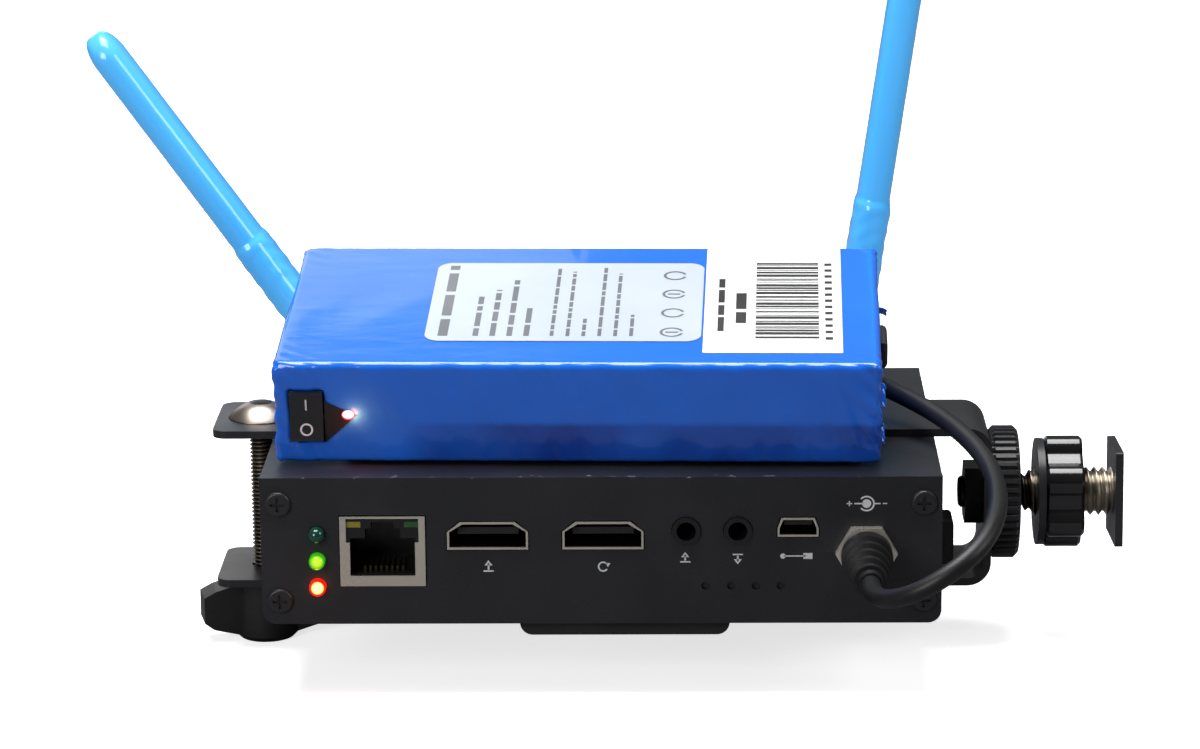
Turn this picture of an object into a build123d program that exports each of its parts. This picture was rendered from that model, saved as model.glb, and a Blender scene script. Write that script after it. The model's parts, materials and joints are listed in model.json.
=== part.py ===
"""Wireless video and audio unit with a clip-on battery, two swivel antennas and a strap bracket.

Built in case coordinates: X to the right along the front panel, Y from the front panel to the
rear, Z up, origin at the case's front lower left corner.  Every node is moved by TO_SHOE before
it is written, so that the stored origin is the middle of the shoe foot's outer face.
"""
import os
from math import acos, cos, pi, radians, sin, tan

from build123d import *

# ---------------------------------------------------------------- case
CASE_W = 127.0
CASE_D = 80.8
CASE_H = 28.4
SHELL_WALL = 1.5
COVER_T = 1.5
PANEL_T = 1.6
LOWER_EDGE_R = 2.5
BOSS = 6.2
SCREW_INSET = 3.4
SCREW_LOW_Z = 4.6
SCREW_HIGH_Z = CASE_H - 5.0
SCREW_R = 1.3
SCREW_HOLE_R = 1.35
SCREW_HEAD_R = 2.4
SCREW_HEAD_H = 0.9
SCREW_LENGTH = 8.0
CROSS_W = 0.55
CROSS_L = 2.7
CROSS_DEPTH = 0.5

# ---------------------------------------------------------------- main board
BOARD_TOP_GAP = 4.3
BOARD_T = 1.6
BOARD_CLEAR = 0.6
BOARD_FRONT_GAP = 0.5
BOARD_Z1 = CASE_H - COVER_T - BOARD_TOP_GAP
BOARD_Z0 = BOARD_Z1 - BOARD_T
BOARD_X0 = BOSS + BOARD_CLEAR
BOARD_X1 = CASE_W - BOSS - BOARD_CLEAR
BOARD_Y0 = PANEL_T + BOARD_FRONT_GAP
BOARD_REAR_GAP = 4.0
BOARD_Y1 = CASE_D - PANEL_T - BOARD_REAR_GAP
STANDOFF_R = 2.5
STANDOFF_BORE_R = 1.25
STANDOFF_INSET = 6.0
BOARD_SCREW_R = 1.2
BOARD_SCREW_HEAD_R = 2.2
BOARD_SCREW_HEAD_H = 1.4
BOARD_HOLE_R = 1.4
# Each chip: place along the board, distance from the board's rear edge, side and height.
CHIPS = ((52.0, 33.2, 18.0, 1.4), (80.0, 35.2, 14.0, 1.2), (66.0, 13.2, 10.0, 1.0))
CAN_X0, CAN_X1 = 84.0, 108.0
CAN_REAR_GAP = 7.2
CAN_L = 15.0
CAN_Y1 = BOARD_Y1 - CAN_REAR_GAP
CAN_Y0 = CAN_Y1 - CAN_L
CAN_H = 3.0
CAN_WALL = 0.4

# ---------------------------------------------------------------- front connectors
NETWORK_X0 = 14.8
NETWORK_W = 15.95
NETWORK_Z0 = 7.5
NETWORK_DEPTH = 15.5
NETWORK_PROUD = 0.4
NETWORK_H = BOARD_Z0 - NETWORK_Z0
SHIELD_WALL = 0.4
SHIELD_LIP_SIDE = 1.2
SHIELD_LIP_LOW_SIDE = 1.9
SHIELD_LIP_BOTTOM = 2.0
SHIELD_LIP_SHOULDER_Z = 16.0
INSERT_GAP = 0.02
CAVITY_W = 12.2
CAVITY_H = 7.1
CAVITY_Z0 = 9.6
CAVITY_DEPTH = 12.0
CAVITY_STEP_W = 6.6
CAVITY_STEP_H = 1.9
CAVITY_NOTCH_W = 4.2
CAVITY_NOTCH_H = 1.2
NETWORK_PINS = 8
NETWORK_PIN_PITCH = 1.02
NETWORK_PIN_W = 0.45
LAMP_WINDOW_W = 2.8
LAMP_WINDOW_H = 1.1
LAMP_WINDOW_Z = 19.35
LAMP_WINDOW_INSET = 1.1

VIDEO_X = (42.4, 63.9)
VIDEO_Z = 17.2
VIDEO_W = 15.1
VIDEO_H = 5.3
VIDEO_TOP_W = 10.2
VIDEO_SIDE_H = 3.4
VIDEO_DEPTH = 12.0
VIDEO_PROUD = 0.3
VIDEO_WALL = 0.4
TONGUE_W = 11.4
TONGUE_H = 1.3
TONGUE_Z = 17.7
TONGUE_SET_BACK = 1.6

AUDIO_X = (79.4, 89.0)
AUDIO_Z = 18.0
AUDIO_BORE_R = 1.8
AUDIO_RING_R = 2.65
AUDIO_PROUD = 0.6
AUDIO_BODY_W = 6.0
AUDIO_DEPTH = 13.0
AUDIO_BORE_LENGTH = 12.4

USB_X = 100.2
USB_Z = 18.7
USB_W = 7.6
USB_TOP_W = 6.2
USB_H = 3.6
USB_DEPTH = 9.0
USB_WALL = 0.35
USB_PROUD = 0.3
USB_TONGUE_W = 5.2
USB_TONGUE_H = 0.8
USB_TONGUE_Z = 19.3

POWER_X = 112.9
POWER_Z = 13.8
POWER_THREAD_R = 4.0
POWER_THREAD_PROUD = 2.2
POWER_BODY_R = 5.0
POWER_BODY_DEPTH = 13.0
POWER_BORE_R = 2.85
POWER_BORE_DEPTH = 10.5
POWER_NUT_AF = 10.0
POWER_NUT_T = 1.8

LAMP_X = 10.5
LAMP_Z = (17.6, 12.4, 7.3)
LAMP_R = 1.5
LAMP_PROUD = 1.0
LAMP_HOLE_CLEAR = 0.1
LAMP_BACK = 2.6
DIMPLE_X = (83.0, 87.8, 92.4, 97.0)
DIMPLE_Z = 7.3
DIMPLE_R = 0.8
DIMPLE_DEPTH = 0.7
CUT_CLEAR = 0.2

# ---------------------------------------------------------------- rear connectors and antennas
ANTENNA_X = (17.1, 111.0)
ANTENNA_Z = 14.2
ANTENNA_LEAN = (-35.4, 8.3)
HINGE_BEHIND = 12.0
CONNECTOR_R = 3.1
CONNECTOR_OUT = 6.2
CONNECTOR_IN = 4.0
CONNECTOR_HOLE_R = 3.2
CONNECTOR_NUT_AF = 8.0
CONNECTOR_NUT_T = 2.0
COLLAR_R = 4.9
COLLAR_GAP = 0.3
COLLAR_BORE_R = 3.16
COLLAR_END = 5.6
FORK_R = 4.6
FORK_HALF_W = 4.9
KNUCKLE_HALF_W = 2.7
KNUCKLE_R = 3.9
KNUCKLE_GAP = 0.1
HINGE_PIN_R = 1.2
HINGE_PIN_CLEAR = 0.05
SLEEVE_START = 5.6
SLEEVE_END = 47.0
SLEEVE_W = 12.8
SLEEVE_T = 7.7
BLADE_END = 100.2
BLADE_W = 11.6
BLADE_T = 6.9
BLADE_EDGE_T = 2.6

# ---------------------------------------------------------------- strap bracket
STRAP_T = 1.5
STRAP_W = 22.2
STRAP_Y0 = 27.7
STRAP_LEFT = -11.8
STRAP_REACH = 11.2
STRAP_RIGHT = CASE_W + STRAP_REACH
STRAP_BEND_R = 4.6
STRAP_END_R = 2.6
STRAP_MID_Y = STRAP_Y0 + STRAP_W / 2
BOLT_X = -3.3
BOLT_R = 2.4
BOLT_HOLE_R = 2.6
BOLT_DOME_R = 6.4
BOLT_DOME_H = 3.2
BOLT_END_Z = -9.5
WASHER_R = 5.2
WASHER_T = 1.0
WASHER_BORE_R = 2.45
WING_GAP = 0.05
WING_HUB_R = 6.3
WING_HUB_H = 12.0
WING_SPAN = 25.4
WING_T = 6.4
WING_TOP_DROP = 1.6
WING_BOTTOM_RISE = 2.6
WING_ANGLE = 14.0
INSERT_R = 3.9
INSERT_H = 7.0
INSERT_BORE_R = 2.45
WING_BORE_R = 2.9
WING_BORE_DEPTH = 11.2

# ---------------------------------------------------------------- shoe mount on the strap wall
MOUNT_Z = 14.3
STUD_R = 3.1
STUD_TIP_OUT = 1.1
WALL_HOLE_R = 3.15
FACE_GAP = 0.05
JAM_NUT_AF = 11.0
JAM_NUT_T = 3.2
WHEEL_R = 12.9
WHEEL_T = 5.5
WHEEL_RIDGES = 46
WHEEL_RIDGE_H = 0.6
NECK_L = 3.6
STEM_R = 4.7
KNOB_R = 11.1
KNOB_T = 7.4
KNOB_LOBES = 6
KNOB_LOBE_R = 3.1
KNOB_CORE_R = 8.9
KNOB_BORE_R = 4.76
DISC_R = 10.4
DISC_T = 1.4
STEM_FREE = 5.9
SHOE_L = 18.6
SHOE_W = 18.0
SHOE_T = 1.5
SHOE_TILT = -4.5

WALL_IN_X = STRAP_RIGHT - STRAP_T
WHEEL_X = STRAP_RIGHT + FACE_GAP
NECK_X = WHEEL_X + WHEEL_T
DISC_X = NECK_X + NECK_L + FACE_GAP
KNOB_X = DISC_X + DISC_T + FACE_GAP
SHOE_X = KNOB_X + KNOB_T + STEM_FREE
SHOE_FACE_X = SHOE_X + SHOE_T

# ---------------------------------------------------------------- battery
BATTERY_W = 113.7
BATTERY_L = 59.7
BATTERY_T = 20.4
BATTERY_PITCH = 8.8
BATTERY_YAW = -1.4
BATTERY_X = 2.3
BATTERY_Y = 9.2
BATTERY_LIFT = 0.3
FILM_T = 0.6
FILM_R = 1.4
CELL_COUNT = 3
CELL_GAP = 0.15
CELL_X0 = 15.0
CELL_X1 = BATTERY_W - 2.2
CELL_INSET_Y = 2.0
PROTECTION_X0 = 3.0
PROTECTION_X1 = 13.4
PROTECTION_T = 1.0
SWITCH_X = 6.3
SWITCH_Z = 9.6
ROCKER_W = 6.4
ROCKER_H = 10.4
ROCKER_TRAVEL = 8.0
ROCKER_PROUD = 1.1
ROCKER_CLEAR = 0.15
FRAME_BORDER = 0.8
FRAME_GAP = 0.4
FRAME_DEPTH = 10.0
ROCKER_PIVOT_DEPTH = 2.4
ROCKER_PIN_R = 0.7
BATTERY_LAMP = (13.7, 10.3)
BATTERY_LAMP_R = 0.9
CUTOUT = ((9.8, 12.8), (15.7, 10.0), (9.8, 4.5))
LABEL_T = 0.12
LABEL_X0, LABEL_X1 = 27.6, 79.8
STICKER_X0, STICKER_X1 = 80.2, 106.4
LABEL_Y0, LABEL_Y1 = 10.9, 50.2
STICKER_Y0, STICKER_Y1 = 5.4, 57.8
LABEL_R = 3.0
LEAD_EXIT = (31.0, 3.0)
LEAD_HOLE_R = 2.6

# ---------------------------------------------------------------- battery lead and plug
LEAD_D = 3.5
PLUG_FACE_Y = -POWER_THREAD_PROUD
PLUG_BARREL_R = 2.75
PLUG_BARREL_L = 9.0
PLUG_GRIP_R = 4.8
PLUG_TIP_R = 3.1
PLUG_GRIP_L = 18.0
PLUG_RIBS = 4
LEAD_ROUTE = (
    (112.9, -30.0, 13.8),
    (119.3, -37.3, 16.9),
    (128.1, -37.6, 22.4),
    (134.2, -30.2, 26.7),
    (136.6, -14.0, 29.5),
    (134.6, 3.0, 31.9),
    (128.9, 18.0, 34.2),
    (121.5, 31.5, 35.4),
)

# ---------------------------------------------------------------- small trim
PAD_X0, PAD_X1 = 48.1, 87.5
PAD_Y0 = 3.0
PAD_GAP = 1.2
PAD_T = 3.2
PAD_R = 2.4
END_PAD_T = 1.3
END_PAD_Y0, END_PAD_Y1 = 17.0, 26.0
END_PAD_Z0, END_PAD_Z1 = 12.4, 17.6
BUMPER_T = 4.0
BUMPER_Y0 = STRAP_Y0 + 1.0
BUMPER_D = 8.0
BUMPER_Z0, BUMPER_Z1 = 2.6, 11.2
WEDGE_INSET = 14.0

TO_SHOE = Location((-SHOE_FACE_X, -STRAP_MID_Y, -MOUNT_Z))
BATTERY = Plane(
    origin=(BATTERY_X, BATTERY_Y, CASE_H + BATTERY_LIFT),
    x_dir=(cos(radians(BATTERY_YAW)), sin(radians(BATTERY_YAW)), 0),
    z_dir=(
        sin(radians(BATTERY_YAW)) * sin(radians(BATTERY_PITCH)),
        -cos(radians(BATTERY_YAW)) * sin(radians(BATTERY_PITCH)),
        cos(radians(BATTERY_PITCH)),
    ),
)
BATTERY_FRONT = Plane(origin=BATTERY.origin, x_dir=BATTERY.x_dir, z_dir=-BATTERY.y_dir)


def facing(y):
    """Plane across the unit at depth y: local x is X, local y is Z, normal towards the front."""
    return Plane(origin=(0, y, 0), x_dir=(1, 0, 0), z_dir=(0, -1, 0))


def beside(x):
    """Plane square to the mount axis at x: local x is Y, local y is Z, normal to the right."""
    return Plane(origin=(x, STRAP_MID_Y, MOUNT_Z), x_dir=(0, 1, 0), z_dir=(1, 0, 0))


def save(name, part):
    """Move one finished node into the stored frame and write it."""
    placed = part.moved(TO_SHOE)
    placed.label = name
    export_step(placed, f"parts/{name}.step")


def slab(plane, x0, x1, y0, y1, depth, mode=Mode.ADD):
    """Rectangular block drawn on a plane between two corners and extruded by depth."""
    with BuildSketch(plane) as outline:
        with Locations(((x0 + x1) / 2, (y0 + y1) / 2)):
            Rectangle(x1 - x0, y1 - y0)
    extrude(outline.sketch, amount=depth, mode=mode)


def disc(plane, centres, radius, depth, mode=Mode.ADD):
    """Round bosses or holes drawn on a plane at each centre and extruded by depth."""
    with BuildSketch(plane) as outline:
        with Locations(*centres):
            Circle(radius)
    extrude(outline.sketch, amount=depth, mode=mode)


def hexagon(plane, centres, across_flats, depth):
    """Hexagonal nuts drawn on a plane at each centre and extruded by depth."""
    with BuildSketch(plane) as outline:
        with Locations(*centres):
            RegularPolygon(across_flats / 2, 6, major_radius=False)
    extrude(outline.sketch, amount=depth)


def panel_screw_centres():
    """Screw axes shared by the front panel, the rear panel and the shell's bosses."""
    return [
        (x, z)
        for x in (SCREW_INSET, CASE_W - SCREW_INSET)
        for z in (SCREW_LOW_Z, SCREW_HIGH_Z)
    ]


def standoff_centres():
    """Board fixing points in plan."""
    return [
        (x, y)
        for x in (BOARD_X0 + STANDOFF_INSET, BOARD_X1 - STANDOFF_INSET)
        for y in (BOARD_Y0 + 4 * STANDOFF_INSET, BOARD_Y1 - STANDOFF_INSET)
    ]


def tapered_outline(x, z, width, top_width, height, side_height, grow=0.0):
    """Connector mouth: straight lower sides and sloping upper corners, grown by a margin."""
    half = width / 2 + grow
    top = top_width / 2 + grow
    low = z - height / 2 - grow
    points = (
        (x - half, low),
        (x + half, low),
        (x + half, low + side_height + grow),
        (x + top, z + height / 2 + grow),
        (x - top, z + height / 2 + grow),
        (x - half, low + side_height + grow),
    )
    Polygon(*points, align=None)


def video_outline(x, grow=0.0):
    """Mouth of one video socket."""
    tapered_outline(x, VIDEO_Z, VIDEO_W, VIDEO_TOP_W, VIDEO_H, VIDEO_SIDE_H, grow)


def usb_outline(grow=0.0):
    """Mouth of the small data socket."""
    tapered_outline(USB_X, USB_Z, USB_W, USB_TOP_W, USB_H, USB_H * 0.45, grow)


# ---------------------------------------------------------------- case parts
def make_case_shell():
    """U-shaped extrusion: floor, two sides with rounded lower edges and four screw bosses."""
    length = CASE_D - 2 * PANEL_T
    wall_top = CASE_H - COVER_T
    with BuildPart() as shell:
        with BuildSketch(facing(PANEL_T)) as outline:
            with Locations((CASE_W / 2, wall_top / 2)):
                Rectangle(CASE_W, wall_top)
            fillet(outline.vertices().group_by(Axis.Y)[0], LOWER_EDGE_R)
            with Locations((CASE_W / 2, SHELL_WALL + wall_top / 2)):
                Rectangle(CASE_W - 2 * SHELL_WALL, wall_top, mode=Mode.SUBTRACT)
            for x, z in panel_screw_centres():
                with Locations((BOSS / 2 if x < CASE_W / 2 else CASE_W - BOSS / 2, z)):
                    Rectangle(BOSS - 0.1, BOSS - 0.6)
            with Locations(*panel_screw_centres()):
                Circle(SCREW_HOLE_R, mode=Mode.SUBTRACT)
        extrude(amount=-length)
    return shell.part


def make_case_cover():
    """Flat cover plate on top of the shell's side walls."""
    with BuildPart() as cover:
        slab(facing(PANEL_T), 0, CASE_W, CASE_H - COVER_T, CASE_H, -(CASE_D - 2 * PANEL_T))
        fillet(cover.edges().filter_by(Axis.Y).group_by(Axis.Z)[-1], 0.3)
    return cover.part


def panel_blank(front_y):
    """Outline shared by both end panels, drawn on the panel's front face."""
    with BuildSketch(facing(front_y)) as blank:
        with Locations((CASE_W / 2, CASE_H / 2)):
            Rectangle(CASE_W, CASE_H)
        fillet(blank.vertices().group_by(Axis.Y)[0], LOWER_EDGE_R)
        with Locations(*panel_screw_centres()):
            Circle(SCREW_R + CUT_CLEAR, mode=Mode.SUBTRACT)
    extrude(blank.sketch, amount=-PANEL_T)


def make_front_panel():
    """Front plate with every socket, lamp and screw opening."""
    with BuildPart() as panel:
        panel_blank(0)
        with BuildSketch(facing(0)):
            with Locations((NETWORK_X0 + NETWORK_W / 2, NETWORK_Z0 + NETWORK_H / 2)):
                Rectangle(NETWORK_W + 2 * CUT_CLEAR, NETWORK_H + 2 * CUT_CLEAR)
            for x in VIDEO_X:
                video_outline(x, CUT_CLEAR)
            usb_outline(CUT_CLEAR)
            with Locations(*[(x, AUDIO_Z) for x in AUDIO_X]):
                Circle(AUDIO_RING_R + CUT_CLEAR / 2)
            with Locations((POWER_X, POWER_Z)):
                Circle(POWER_THREAD_R + CUT_CLEAR / 2)
            with Locations(*[(LAMP_X, z) for z in LAMP_Z]):
                Circle(LAMP_R + LAMP_HOLE_CLEAR)
        extrude(amount=-PANEL_T, mode=Mode.SUBTRACT)
        disc(facing(0), [(x, DIMPLE_Z) for x in DIMPLE_X], DIMPLE_R, -DIMPLE_DEPTH, Mode.SUBTRACT)
    return panel.part


def make_rear_panel():
    """Rear plate with the two antenna connector holes."""
    with BuildPart() as panel:
        panel_blank(CASE_D - PANEL_T)
        holes = [(x, ANTENNA_Z) for x in ANTENNA_X]
        disc(facing(CASE_D - PANEL_T), holes, CONNECTOR_HOLE_R, -PANEL_T, Mode.SUBTRACT)
    return panel.part


def make_panel_screws(face_y, outward):
    """Four pan-head cross screws; outward is -1 at the front and +1 at the rear."""
    head = facing(face_y)
    crown = facing(face_y + outward * SCREW_HEAD_H)
    centres = panel_screw_centres()
    with BuildPart() as screws:
        disc(head, centres, SCREW_HEAD_R, -outward * SCREW_HEAD_H)
        fillet(screws.edges().filter_by(GeomType.CIRCLE).group_by(Axis.Y)[0 if outward < 0 else -1], 0.5)
        disc(head, centres, SCREW_R, outward * SCREW_LENGTH)
        for width, height in ((CROSS_L, CROSS_W), (CROSS_W, CROSS_L)):
            with BuildSketch(crown):
                with Locations(*centres):
                    Rectangle(width, height)
            extrude(amount=outward * CROSS_DEPTH, mode=Mode.SUBTRACT)
    return screws.part


def make_underside_pad():
    """Rubber pad under the case, in front of the strap."""
    depth = STRAP_Y0 - PAD_GAP - PAD_Y0
    with BuildPart() as pad:
        slab(facing(PAD_Y0), PAD_X0, PAD_X1, -PAD_T, 0, -depth)
        fillet(pad.edges().filter_by(Axis.Y).group_by(Axis.Z)[0], PAD_R)
    return pad.part


def make_side_bumper():
    """Rubber block on the right side of the case, inside the strap's wall."""
    with BuildPart() as bumper:
        slab(facing(BUMPER_Y0), CASE_W, CASE_W + BUMPER_T, BUMPER_Z0, BUMPER_Z1, -BUMPER_D)
        fillet(bumper.edges().filter_by(Axis.Y).group_by(Axis.X)[-1], 0.8)
    return bumper.part


# ---------------------------------------------------------------- electronics
def make_main_board():
    """Circuit board hung under the cover on four stand-offs."""
    with BuildPart() as board:
        slab(Plane.XY.offset(BOARD_Z0), BOARD_X0, BOARD_X1, BOARD_Y0, BOARD_Y1, BOARD_T)
        disc(Plane.XY.offset(BOARD_Z0), standoff_centres(), BOARD_HOLE_R, BOARD_T, Mode.SUBTRACT)
    return board.part


def make_board_standoffs():
    """Four stand-offs between the board and the cover."""
    with BuildPart() as standoffs:
        disc(Plane.XY.offset(BOARD_Z1), standoff_centres(), STANDOFF_R, BOARD_TOP_GAP)
        bore = BOARD_TOP_GAP - 0.3
        disc(Plane.XY.offset(BOARD_Z1), standoff_centres(), STANDOFF_BORE_R, bore, Mode.SUBTRACT)
    return standoffs.part


def make_board_screws():
    """Four screws holding the board to its stand-offs."""
    with BuildPart() as screws:
        head = Plane.XY.offset(BOARD_Z0)
        disc(head, standoff_centres(), BOARD_SCREW_HEAD_R, -BOARD_SCREW_HEAD_H)
        disc(head, standoff_centres(), BOARD_SCREW_R, BOARD_T + BOARD_TOP_GAP - 1.0)
    return screws.part


def make_board_chips():
    """Processor and memory packages on the lower face of the board."""
    with BuildPart() as chips:
        for x, rear_gap, size, height in CHIPS:
            y = BOARD_Y1 - rear_gap
            low = Plane.XY.offset(BOARD_Z0)
            slab(low, x - size / 2, x + size / 2, y - size / 2, y + size / 2, -height)
    return chips.part


def make_radio_shield():
    """Folded metal can over the radio circuit, near the antenna connectors."""
    with BuildPart() as can:
        low = Plane.XY.offset(BOARD_Z0)
        for inset, height, mode in ((0, CAN_H, Mode.ADD), (CAN_WALL, CAN_H - CAN_WALL, Mode.SUBTRACT)):
            slab(low, CAN_X0 + inset, CAN_X1 - inset, CAN_Y0 + inset, CAN_Y1 - inset, -height, mode)
    return can.part


def make_network_shield():
    """Plated shell of the network socket."""
    x1 = NETWORK_X0 + NETWORK_W
    with BuildPart() as shield:
        slab(facing(-NETWORK_PROUD), NETWORK_X0, x1, NETWORK_Z0, BOARD_Z0, -NETWORK_DEPTH)
        with BuildSketch(facing(-NETWORK_PROUD)):
            with Locations((NETWORK_X0 + NETWORK_W / 2, NETWORK_Z0 + NETWORK_H / 2)):
                Rectangle(NETWORK_W - 2 * SHIELD_WALL, NETWORK_H - 2 * SHIELD_WALL)
        extrude(amount=-(NETWORK_DEPTH - SHIELD_WALL), mode=Mode.SUBTRACT)
        slab(facing(-NETWORK_PROUD), NETWORK_X0, x1, NETWORK_Z0, BOARD_Z0, -SHIELD_WALL)
        low, top = NETWORK_Z0 + SHIELD_LIP_BOTTOM, BOARD_Z0 - SHIELD_WALL
        for inset, high in ((SHIELD_LIP_SIDE, top), (SHIELD_LIP_LOW_SIDE, SHIELD_LIP_SHOULDER_Z)):
            bottom = low if high < top else SHIELD_LIP_SHOULDER_Z
            mouth = NETWORK_X0 + inset, x1 - inset, bottom, high
            slab(facing(-NETWORK_PROUD), *mouth, -SHIELD_WALL, Mode.SUBTRACT)
    return shield.part


def network_lamp_centres():
    """Centres of the two indicator windows in the network socket."""
    half = LAMP_WINDOW_W / 2
    inset = LAMP_WINDOW_INSET + half
    return (
        (NETWORK_X0 + inset, LAMP_WINDOW_Z),
        (NETWORK_X0 + NETWORK_W - inset, LAMP_WINDOW_Z),
    )


def make_network_insert():
    """Moulded body of the network socket with its stepped mouth."""
    mid = NETWORK_X0 + NETWORK_W / 2
    start = 0.2
    depth = NETWORK_DEPTH - NETWORK_PROUD - SHIELD_WALL - start - INSERT_GAP
    rim = SHIELD_WALL + INSERT_GAP
    step_z = CAVITY_Z0 + CAVITY_H
    notch_z = step_z + CAVITY_STEP_H
    with BuildPart() as insert:
        x1 = NETWORK_X0 + NETWORK_W - rim
        slab(facing(start), NETWORK_X0 + rim, x1, NETWORK_Z0 + rim, BOARD_Z0 - rim, -depth)
        for width, z0, z1 in (
            (CAVITY_W, CAVITY_Z0, step_z),
            (CAVITY_STEP_W, step_z - 0.1, notch_z),
            (CAVITY_NOTCH_W, notch_z - 0.1, notch_z + CAVITY_NOTCH_H),
        ):
            slab(facing(start), mid - width / 2, mid + width / 2, z0, z1, -CAVITY_DEPTH, Mode.SUBTRACT)
        with BuildSketch(facing(start)):
            with Locations(*network_lamp_centres()):
                Rectangle(LAMP_WINDOW_W + 0.04, LAMP_WINDOW_H + 0.04)
        extrude(amount=-3.0, mode=Mode.SUBTRACT)
    return insert.part


def make_network_pins():
    """Eight gold contacts lying on the floor of the network socket."""
    mid = NETWORK_X0 + NETWORK_W / 2
    first = mid - NETWORK_PIN_PITCH * (NETWORK_PINS - 1) / 2
    with BuildPart() as pins:
        with BuildSketch(facing(2.6)):
            for i in range(NETWORK_PINS):
                with Locations((first + i * NETWORK_PIN_PITCH, CAVITY_Z0 + 0.5)):
                    Rectangle(NETWORK_PIN_W, 1.0)
        extrude(amount=-7.0)
    return pins.part


def make_network_lamp(index):
    """One indicator window in the network socket."""
    with BuildPart() as lamp:
        with BuildSketch(facing(0.1)):
            with Locations(network_lamp_centres()[index]):
                Rectangle(LAMP_WINDOW_W, LAMP_WINDOW_H)
        extrude(amount=-2.9)
    return lamp.part


def make_video_shells():
    """Plated shells of the two video sockets, closed at the back."""
    with BuildPart() as shells:
        with BuildSketch(facing(-VIDEO_PROUD)):
            for x in VIDEO_X:
                video_outline(x)
        extrude(amount=-VIDEO_DEPTH)
        with BuildSketch(facing(-VIDEO_PROUD)):
            for x in VIDEO_X:
                video_outline(x, -VIDEO_WALL)
        extrude(amount=-(VIDEO_DEPTH - 2.0), mode=Mode.SUBTRACT)
    return shells.part


def make_video_tongues():
    """Contact tongues inside the two video sockets."""
    start = TONGUE_SET_BACK
    depth = VIDEO_DEPTH - VIDEO_PROUD - 2.0 - start
    with BuildPart() as tongues:
        for x in VIDEO_X:
            z0, z1 = TONGUE_Z - TONGUE_H / 2, TONGUE_Z + TONGUE_H / 2
            slab(facing(start), x - TONGUE_W / 2, x + TONGUE_W / 2, z0, z1, -depth)
    return tongues.part


def make_audio_jacks():
    """Two round audio sockets: moulded body, proud ring and blind bore."""
    centres = [(x, AUDIO_Z) for x in AUDIO_X]
    with BuildPart() as jacks:
        disc(facing(-AUDIO_PROUD), centres, AUDIO_RING_R, -(AUDIO_PROUD + BOARD_Y0))
        for x in AUDIO_X:
            half = AUDIO_BODY_W / 2
            slab(facing(BOARD_Y0), x - half, x + half, AUDIO_Z - half, BOARD_Z0, -AUDIO_DEPTH)
        disc(facing(-AUDIO_PROUD), centres, AUDIO_BORE_R, -AUDIO_BORE_LENGTH, Mode.SUBTRACT)
    return jacks.part


def make_usb_shell():
    """Plated shell of the small data socket, closed at the back."""
    with BuildPart() as shell:
        with BuildSketch(facing(-USB_PROUD)):
            usb_outline()
        extrude(amount=-USB_DEPTH)
        with BuildSketch(facing(-USB_PROUD)):
            usb_outline(-USB_WALL)
        extrude(amount=-(USB_DEPTH - 1.5), mode=Mode.SUBTRACT)
    return shell.part


def make_usb_tongue():
    """Contact tongue inside the small data socket."""
    depth = USB_DEPTH - USB_PROUD - 1.5 - 0.8
    with BuildPart() as tongue:
        half = USB_TONGUE_W / 2
        low = USB_TONGUE_Z - USB_TONGUE_H / 2
        slab(facing(0.8), USB_X - half, USB_X + half, low, low + USB_TONGUE_H, -depth)
    return tongue.part


def make_power_jack():
    """Panel-mounted power socket: threaded nose, flanged body, bore and centre contact."""
    centre = [(POWER_X, POWER_Z)]
    inside = facing(PANEL_T)
    nose = facing(-POWER_THREAD_PROUD)
    with BuildPart() as jack:
        disc(nose, centre, POWER_THREAD_R, -(POWER_THREAD_PROUD + PANEL_T))
        disc(inside, centre, POWER_BODY_R, -POWER_BODY_DEPTH)
        disc(nose, centre, POWER_BORE_R, -POWER_BORE_DEPTH, Mode.SUBTRACT)
        disc(facing(POWER_BORE_DEPTH - POWER_THREAD_PROUD), centre, 1.0, POWER_BORE_DEPTH - 1.5)
    return jack.part


def make_power_nut():
    """Hexagonal nut that clamps the power socket to the panel."""
    with BuildPart() as nut:
        hexagon(facing(0), [(POWER_X, POWER_Z)], POWER_NUT_AF, POWER_NUT_T)
        disc(facing(0), [(POWER_X, POWER_Z)], POWER_THREAD_R + 0.02, POWER_NUT_T, Mode.SUBTRACT)
        chamfer(nut.edges().filter_by(GeomType.CIRCLE).group_by(Axis.Y)[0], 0.2)
    return nut.part


def make_lamp(z):
    """One round indicator lamp: cylinder with a domed tip through the front panel."""
    straight = LAMP_BACK + LAMP_PROUD
    with BuildPart() as lamp:
        with BuildSketch(Plane(origin=(LAMP_X, LAMP_BACK, z), x_dir=(1, 0, 0), z_dir=(0, 0, 1))):
            with BuildLine():
                Line((0, 0), (LAMP_R, 0))
                Line((LAMP_R, 0), (LAMP_R, -straight))
                JernArc((LAMP_R, -straight), (0, -1), LAMP_R, -90)
                Line((0, -straight - LAMP_R), (0, 0))
            make_face()
        revolve(axis=Axis((LAMP_X, 0, z), (0, 1, 0)))
    return lamp.part


# ---------------------------------------------------------------- antennas
def make_antenna_connectors():
    """Two threaded connectors through the rear panel, each with a hexagonal flange."""
    centres = [(x, ANTENNA_Z) for x in ANTENNA_X]
    outer = facing(CASE_D)
    with BuildPart() as connectors:
        disc(outer, centres, CONNECTOR_R, -CONNECTOR_OUT)
        disc(outer, centres, CONNECTOR_R, PANEL_T + CONNECTOR_IN)
        hexagon(outer, centres, CONNECTOR_NUT_AF, -CONNECTOR_NUT_T)
    return connectors.part


def hinge_plane(index):
    """Plane through an antenna's hinge: local x along the hinge pin, local y up the blade."""
    lean = radians(ANTENNA_LEAN[index])
    return Plane(
        origin=(ANTENNA_X[index], CASE_D + HINGE_BEHIND, ANTENNA_Z),
        x_dir=(cos(lean), 0, -sin(lean)),
        z_dir=(0, -1, 0),
    )


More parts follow.
